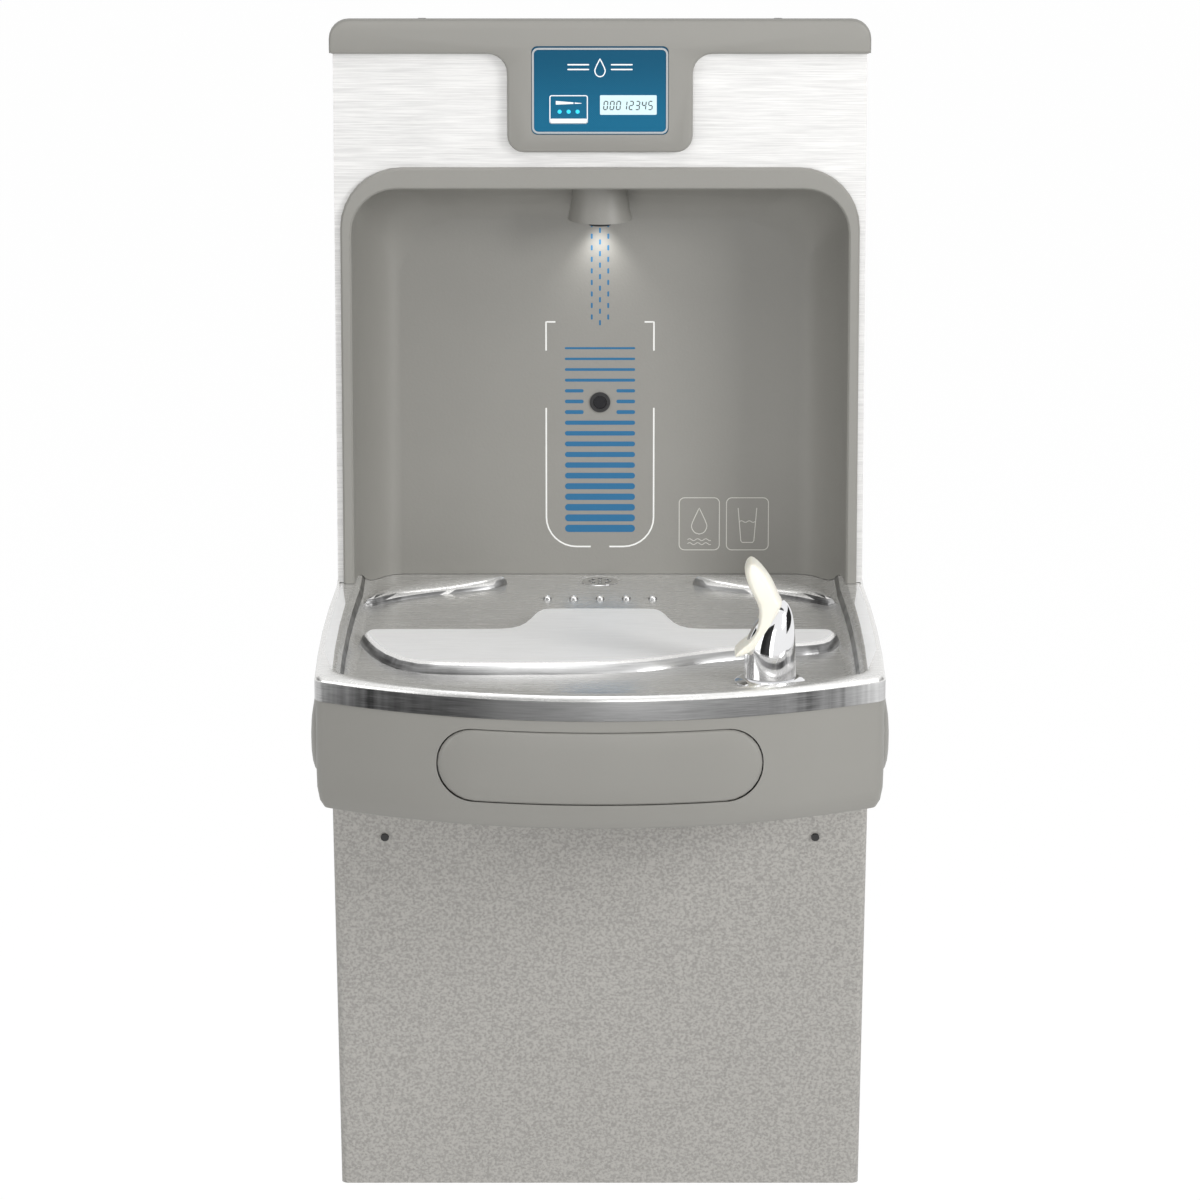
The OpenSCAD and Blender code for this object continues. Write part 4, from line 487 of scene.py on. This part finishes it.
def buildJetLip():  # the dark ring round the jet's mouth
    mouth = Vector((*tower["at"], tower["foot"])) + Vector(tower["jet"]) * mm
    bm = bmesh.new()
    loop = [bm.verts.new(mouth + Vector((x, y, 0)) * mm) for x, y in tower["lip"]]
    ring = [bm.edges.new(pair) for pair in zip(loop, loop[1:] + loop[:1])]
    bmesh.ops.spin(bm, geom=loop + ring, cent=mouth, axis=(0, 1, 0), angle=2 * math.pi,
                   steps=tower["lipSteps"], use_merge=True)
    bmesh.ops.remove_doubles(bm, verts=bm.verts, dist=weld)
    bmesh.ops.recalc_face_normals(bm, faces=bm.faces)
    markSharp(bm, 60)
    newPiece("jet_lip", bm, "station", "black_plastic")


guard = {  # its outline from the side, in millimetres from the tower's middle
    "half": 15, "low": rowZ(503.5), "short": 0.08, "fullness": 3.5, "layers": 22,
    "side": [(-14.5, 101.5), (-8, 97), (0.5, 86), (7, 72), (9.2, 66), (3.5, 55), (-3, 42), (-10, 32),
             (-17, 26.5), (-26, 23.4), (-28.4, 24.6), (-26.5, 28.6), (-17, 37), (-11, 46), (-8.8, 58),
             (-11.2, 68), (-17, 80), (-20.6, 92), (-19, 99.5)],
}


def buildGuard():
    cx, cy = tower["at"]
    loop = splineLoop(guard["side"], 8)
    n = len(loop)
    centre = (loop[0] + loop[n // 2]) / 2
    rings = []
    for k in range(guard["layers"] + 1):
        t = math.sin(math.pi * (k / guard["layers"] - 0.5))
        draw = 0.5 * (1 - math.sqrt(max(0.0, 1 - abs(t) ** guard["fullness"])))
        ring = []
        for i, p in enumerate(loop):
            m = (p + loop[-i % n]) / 2
            q = centre + (1 - guard["short"] * draw) * (m - centre) + (1 - draw) * (p - m)
            ring.append((cx + q.x * mm, cy + guard["half"] * t * mm, guard["low"] + q.y * mm))
        rings.append(ring)
    bm = bmesh.new()
    loftRings(bm, rings)
    markSharp(bm, 60)
    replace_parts(newPiece("bubbler_guard_skin", bm, "station", slotOf["bubbler_guard"]), "bubbler_guard")


buildTower()
buildJetLip()
buildGuard()
print("bubbler built")


class Print:  # flat marks seen from the front, in millimetres across and above the underside
    def __init__(self):
        self.bm = bmesh.new()

    def plate(self, loop):
        self.bm.faces.new([self.bm.verts.new((x * mm, 0, rowZ(z))) for x, z in loop])

    def ribbon(self, path, width, closed=False):
        n = len(path)
        sides = []
        for i, p in enumerate(path):
            a = path[(i - 1) % n] if closed or i else p
            b = path[(i + 1) % n] if closed or i < n - 1 else p
            along = (Vector(b) - Vector(a)).normalized()
            out = Vector((along.y, -along.x)) * width / 2
            sides.append([self.bm.verts.new(((p[0] + s * out.x) * mm, 0, rowZ(p[1] + s * out.y)))
                          for s in (-1, 1)])
        for a, b in zip(sides, sides[1:] + (sides[:1] if closed else [])):
            self.bm.faces.new((a[0], a[1], b[1], b[0]))

    def lay(self, name, slot, mat, wall, thick):  # wall gives the depth under a point
        for v in self.bm.verts:
            v.co.y = wall(v.co.x, v.co.z)
        out = bmesh.ops.extrude_face_region(self.bm, geom=self.bm.faces[:], use_keep_orig=True)
        for v in out["geom"]:
            if isinstance(v, bmesh.types.BMVert):
                v.co.y -= thick * mm
        bmesh.ops.recalc_face_normals(self.bm, faces=self.bm.faces)
        return newPiece(name, self.bm, "station", slot, mat)


def arc(cx, cz, r, start, end, steps=8):
    turns = [math.radians(start + (end - start) * k / steps) for k in range(steps + 1)]
    return [(cx + r * math.cos(a), cz + r * math.sin(a)) for a in turns]


def roundBox(x0, x1, z0, z1, r, steps=5):
    return (arc(x1 - r, z1 - r, r, 90, 0, steps) + arc(x1 - r, z0 + r, r, 0, -90, steps)
            + arc(x0 + r, z0 + r, r, -90, -180, steps) + arc(x0 + r, z1 - r, r, 180, 90, steps))


def run(a, b, step=4.0):  # points from a to b no further apart than step
    count = max(1, math.ceil((Vector(b) - Vector(a)).length / step))
    return [tuple(Vector(a).lerp(Vector(b), k / count)) for k in range(count + 1)]


def dropLoop(x, half):  # a drop's outline from its right half
    path = splineLoop([(x + a, z) for a, z in half], 4, False)
    return path[:-1] + [(2 * x - a, z) for a, z in reversed(path[1:])]


def wave(x, z, step, count, height, pace):  # a rippled line to the right from x
    return [(x + i * step, z + height * math.sin(i * pace)) for i in range(count)]


# The search for the alcove's wall starts at "from"; the ink stands just over its wall.
printing = {"from": -0.1, "thick": 0.08, "overAlcove": 0.02 * mm, "overLens": 0.01 * mm}
alcoveTree = BVHTree.FromPolygons([v.co for v in nodes["alcove_shell"].data.vertices],
                                  [p.vertices for p in nodes["alcove_shell"].data.polygons])


def alcoveWall(x, z):
    hit = alcoveTree.ray_cast(Vector((x, printing["from"], z)), Vector((0, 1, 0)))[0]
    return hit.y + printing["overAlcove"]


inks = {
    "blue": printedInk("blueInk", (0.030, 0.150, 0.300)), "white": printedInk("whiteInk", (0.86, 0.86, 0.84)),
    "soft": printedInk("softWhiteInk", (0.62, 0.61, 0.57)),
}
scale = {  # the blue level marks, which leave the sensor clear
    "half": 30, "low": 544, "rows": 18, "pitch": 9.3, "thickLow": 6.4, "thickHigh": 1.8, "round": 0.48,
    "sensor": 655, "clear": 14,
}
stream = {  # three columns of short dashes above the level marks
    "low": 722, "rows": 9, "pitch": 10, "columns": (-7, 0, 7), "half": 0.8, "long": 4.6, "round": 0.75,
}
guide = {  # the white bracket, left and right of the scale
    "side": 46, "corner": 26, "foot": 528, "gap": 8, "join": 2, "sideTop": 650, "upper": (700, 725),
    "hook": 8, "pen": 1.3,
}
panels = {  # two small framed pictures: a drop over water, and a glass
    "frames": ((68, 102.5), (108.6, 144.6)), "low": 525, "high": 571, "corner": 4.5,
    "pen": 0.7, "thinPen": 0.6,
    "dropX": 85.2, "drop": [(0, 562), (5.5, 550), (6.5, 545), (4, 540.5), (0, 539)],
    "waves": ((75.2, 534), (75.2, 530.5)),
    "ripple": {"step": 1, "count": 21, "height": 0.9, "pace": 0.9},
    "glassX": 126.6,
    "glass": [(-8, 562), (-5.6, 533), (-4.4, 531.6), (4.4, 531.6), (5.6, 533), (8, 562)],
    "level": (119.8, 550), "levelRipple": {"step": 0.8, "count": 18, "height": 0.7, "pace": 0.75},
}


def printScale():
    ink = Print()
    for k in range(scale["rows"]):
        share = k / (scale["rows"] - 1)
        z = scale["low"] + k * scale["pitch"]
        h = scale["thickLow"] + (scale["thickHigh"] - scale["thickLow"]) * share
        spans = [(-scale["half"], scale["half"])]
        if abs(z - scale["sensor"]) < scale["clear"]:
            spans = [(-scale["half"], -scale["clear"]), (scale["clear"], scale["half"])]
        for x0, x1 in spans:
            ink.plate(roundBox(x0, x1, z - h / 2, z + h / 2, h * scale["round"]))
    for k in range(stream["rows"]):
        for x in stream["columns"]:
            z = stream["low"] + stream["pitch"] * (k + (0.5 if x else 0))
            ink.plate(roundBox(x - stream["half"], x + stream["half"], z, z + stream["long"],
                               stream["round"], 3))
    ink.lay("level_print", "display_blue", inks["blue"], alcoveWall, printing["thick"])


def printGuide():
    side, corner, foot, join = guide["side"], guide["corner"], guide["foot"], guide["join"]
    low, high = guide["upper"]
    ink = Print()
    for s in (-1, 1):
        start, end = (180, 270) if s < 0 else (0, -90)
        ink.ribbon(run((s * side, guide["sideTop"]), (s * side, foot + corner + join))
                   + arc(s * (side - corner), foot + corner, corner, start, end)
                   + run((s * (side - corner - join), foot), (s * guide["gap"], foot)), guide["pen"])
        ink.ribbon(run((s * side, low), (s * side, high))
                   + run((s * (side - 1), high), (s * (side - guide["hook"]), high)), guide["pen"])
    ink.lay("guide_print", "white_plastic", inks["white"], alcoveWall, printing["thick"])


def printPanels():
    ink = Print()
    for x0, x1 in panels["frames"]:
        box = roundBox(x0, x1, panels["low"], panels["high"], panels["corner"])
        ink.ribbon([p for a, b in zip(box, box[1:] + box[:1]) for p in run(a, b)[:-1]], panels["pen"], True)
    ink.ribbon(dropLoop(panels["dropX"], panels["drop"]), panels["pen"], True)
    for x, z in panels["waves"]:
        ink.ribbon(wave(x, z, **panels["ripple"]), panels["thinPen"])
    ink.ribbon([(panels["glassX"] + a, z) for a, z in panels["glass"]], panels["pen"])
    ink.ribbon(wave(*panels["level"], **panels["levelRipple"]), panels["thinPen"])
    ink.lay("pictogram_print", "white_plastic", inks["soft"], alcoveWall, printing["thick"])


printScale()
printGuide()
printPanels()

segments = {  # the seven strokes of a figure in a cell one wide and two high
    "a": ((0, 2), (1, 2)), "b": ((1, 2), (1, 1)), "c": ((1, 1), (1, 0)), "d": ((0, 0), (1, 0)),
    "e": ((0, 0), (0, 1)), "f": ((0, 1), (0, 2)), "g": ((0, 1), (1, 1)),
}
strokes = {"0": "abcdef", "1": "bc", "2": "abged", "3": "abgcd", "4": "fgbc", "5": "afgcd"}
counter = {
    "text": "00012345", "x": 2.9, "z": 926.4, "wide": 3.0, "tall": 3.5, "pitch": 5.3, "slant": 0.1,
    "pen": 0.8, "break": 0.35, "window": (0, 47, 922.1, 938.5, 0.8),
}
screen = {  # each box is its left, right, bottom, top and corner
    "rim": (-55.6, 55.6, 907.0, 977.4, 4.5), "rimWide": 1.6, "rimThick": 0.5, "markThick": 0.1,
    "figureThick": 0.16, "lightThick": 0.12,
    "box": (-41.5, -10.5, 914.9, 938.1, 1.4), "boxPen": 0.8, "base": (-41.6, -10.4, 914.6, 918.8, 1.2),
    "wedges": [[(-36.6, 933.7), (-36.6, 930.6), (-22.0, 931.2), (-22.0, 932.5)],
               [(-21.0, 932.4), (-21.0, 931.3), (-15.4, 931.5), (-15.4, 931.9)]],
    "drop": [(0, 969), (3.6, 961.5), (4.2, 958.2), (2.6, 955), (0, 954)], "dropPen": 0.9,
    "dashes": ((-27, -9), (9, 27)), "dashLow": (963.5, 959.5), "dashHigh": 1.1, "dashRound": 0.5,
    "lights": (-33.5, -26, -18.6), "lightHalf": 1.7, "lightSpan": (923.0, 926.4), "lightRound": 1.69,
}


def printCounter(onLens):
    ink = Print()
    ink.plate(roundBox(*counter["window"]))
    ink.lay("counter_window", "white_plastic", printedInk("counterWindow", (0.62, 0.80, 0.84), 0.4, 0.05),
            onLens, screen["markThick"])
    ink = Print()
    for k, figure in enumerate(counter["text"]):
        for stroke in strokes[figure]:
            ends = []
            for u, v in segments[stroke]:
                z = v * counter["tall"]
                x = counter["x"] + k * counter["pitch"] + u * counter["wide"] + z * counter["slant"]
                ends.append(Vector((x, counter["z"] + z)))
            short = (ends[1] - ends[0]).normalized() * counter["break"]
            ink.ribbon([tuple(ends[0] + short), tuple(ends[1] - short)], counter["pen"])
    ink.lay("counter_figures", "black_plastic", printedInk("counterFigures", (0.02, 0.025, 0.03)),
            onLens, screen["figureThick"])


def printDisplay():
    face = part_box("display_lens")[0][1]

    def onLens(x, z):
        return face + printing["overLens"]

    ink = Print()
    ink.ribbon(roundBox(*screen["rim"]), screen["rimWide"], True)
    ink.lay("screen_rim", "grey_plastic", printedInk("screenRim", (0.42, 0.44, 0.45), 0.35),
            onLens, screen["rimThick"])
    printCounter(onLens)
    ink = Print()
    ink.ribbon(roundBox(*screen["box"]), screen["boxPen"], True)
    ink.plate(roundBox(*screen["base"]))
    for loop in screen["wedges"]:
        ink.plate(loop)
    ink.ribbon(dropLoop(0, screen["drop"]), screen["dropPen"], True)
    for x0, x1 in screen["dashes"]:
        for z in screen["dashLow"]:
            ink.plate(roundBox(x0, x1, z, z + screen["dashHigh"], screen["dashRound"], 3))
    ink.lay("screen_marks", "white_plastic", printedInk("screenMarks", (0.85, 0.88, 0.9), 0.4, 0.1),
            onLens, screen["markThick"])
    ink = Print()
    for x in screen["lights"]:
        ink.plate(roundBox(x - screen["lightHalf"], x + screen["lightHalf"], *screen["lightSpan"],
                           screen["lightRound"], 6))
    ink.lay("status_lights", "display_blue", printedInk("statusLights", (0.03, 0.52, 0.80), 0.4, 0.5),
            onLens, screen["lightThick"])


printDisplay()
print("prints laid")


studio = {
    "floor": -0.80, "floorSize": 30, "floorTone": (0.8, 0.8, 0.8), "floorRough": 0.8,
    "white": 1.06, "whiteShare": 0.9, "fill": 0.42,
}
lamps = {  # place, aim, size and watts
    "keyLamp": ((3.0, -2.6, 1.7), (0, -0.1, 0.2), (1.2, 1.2), 84),
    "leftLamp": ((-3.2, -2.4, 1.0), (0, -0.1, 0.1), (1.6, 1.6), 20),
    "frontLamp": ((-0.4, -4.5, 0.6), (0, -0.1, 0.1), (2.4, 2.4), 46),
    "topLamp": ((-0.3, -1.3, 2.6), (0, -0.2, 0.3), (1.6, 1.2), 16),
}
nozzleLight = {"place": (0, -0.030, 0.4805), "tilt": 8, "watts": 0.20, "spread": 92, "soft": 0.006}
cards = {  # two upright edges, the bottom and the top; in polished metal they are a room's dark parts
    "frontCard0": ((-1.5, -0.9), (-0.9, -1.5), -0.75, -0.02),
    "frontCard1": ((-0.9, -1.5), (0.7, -1.5), -0.75, -0.02),
    "highCard": ((-0.8, -1.35), (0.05, -1.5), 0.02, 0.95),
    "sideCard0": ((-1.5, -0.9), (-1.5, 0.6), 0.2, 0.8),
    "sideCard1": ((1.5, -0.9), (1.5, 0.6), 0.2, 0.8),
}


def whiteToCamera(tree, wire):  # 1 for rays from the camera, mirrors and glass
    path = wire.make("ShaderNodeLightPath")
    outs = path.out.node.outputs
    seen = [Wire(tree, outs[n]) for n in ("Is Camera Ray", "Is Glossy Ray", "Is Transmission Ray")]
    return (seen[0] + seen[1] + seen[2]).clip()


def layFloor():
    mat = bpy.data.materials.new("paleFloor")
    mat.use_nodes = True
    tree = mat.node_tree
    wire = Wire(tree, None)
    plain = tree.nodes["Principled BSDF"]
    plain.inputs["Base Color"].default_value = (*studio["floorTone"], 1)
    plain.inputs["Roughness"].default_value = studio["floorRough"]
    white = wire.make("ShaderNodeEmission", {}, {"Strength": studio["white"]})
    mixed = wire.make("ShaderNodeMixShader", {}, {
        0: whiteToCamera(tree, wire) * studio["whiteShare"], 1: Wire(tree, plain.outputs[0]), 2: white})
    tree.links.new(mixed.out, tree.nodes["Material Output"].inputs["Surface"])
    bm = bmesh.new()
    bmesh.ops.create_grid(bm, x_segments=1, y_segments=1, size=studio["floorSize"])
    bmesh.ops.translate(bm, verts=bm.verts, vec=(0, 0, studio["floor"]))
    floor = linked("floor", bm)
    floor.data.materials.append(mat)


def lightWorld():
    world = bpy.data.worlds.new("studio")
    bpy.context.scene.world = world
    world.use_nodes = True
    tree = world.node_tree
    sky = tree.nodes["Background"]
    strength = whiteToCamera(tree, Wire(tree, None)) * (1 - studio["fill"]) + studio["fill"]
    tree.links.new(strength.out, sky.inputs["Strength"])
    sky.inputs["Color"].default_value = (1, 1, 1, 1)


def hangLamps():
    for name, (place, aim, size, watts) in lamps.items():
        data = bpy.data.lights.new(name, "AREA")
        data.shape, data.size, data.size_y, data.energy = "RECTANGLE", *size, watts
        lamp = bpy.data.objects.new(name, data)
        lamp.location = place
        lamp.rotation_euler = (Vector(aim) - Vector(place)).to_track_quat("-Z", "Y").to_euler()
        bpy.context.scene.collection.objects.link(lamp)
    glow = bpy.data.lights.new("nozzleGlow", "SPOT")
    glow.energy, glow.shadow_soft_size = nozzleLight["watts"], nozzleLight["soft"]
    glow.spot_size, glow.spot_blend = math.radians(nozzleLight["spread"]), 1.0
    lamp = bpy.data.objects.new("nozzleGlow", glow)
    lamp.location = nozzleLight["place"]
    lamp.rotation_euler = (math.radians(nozzleLight["tilt"]), 0, 0)
    bpy.context.scene.collection.objects.link(lamp)


def standCards():  # seen only by mirrors
    dark = Finish("darkCard", (0.01, 0.01, 0.01), 0.9).mat
    for name, (a, b, low, high) in cards.items():
        bm = bmesh.new()
        bm.faces.new([bm.verts.new(p) for p in ((*a, low), (*b, low), (*b, high), (*a, high))])
        card = linked(name, bm)
        card.data.materials.append(dark)
        card.visible_camera = card.visible_diffuse = card.visible_shadow = card.visible_transmission = False


layFloor()
lightWorld()
hangLamps()
standCards()
print("studio lit")

camera = {"place": (0.0, -5.4594, 1.5221), "down": 14.187, "lens": 195.6, "sensor": 36, "clip": (0.1, 100)}
cam = bpy.data.objects.new("camera", bpy.data.cameras.new("camera"))
bpy.context.scene.collection.objects.link(cam)
cam.location = camera["place"]
cam.rotation_euler = (math.radians(90 - camera["down"]), 0, 0)
cam.data.lens = camera["lens"]
cam.data.sensor_width = cam.data.sensor_height = camera["sensor"]
cam.data.clip_start, cam.data.clip_end = camera["clip"]
bpy.context.scene.camera = cam
bpy.context.scene.view_settings.view_transform = "Standard"
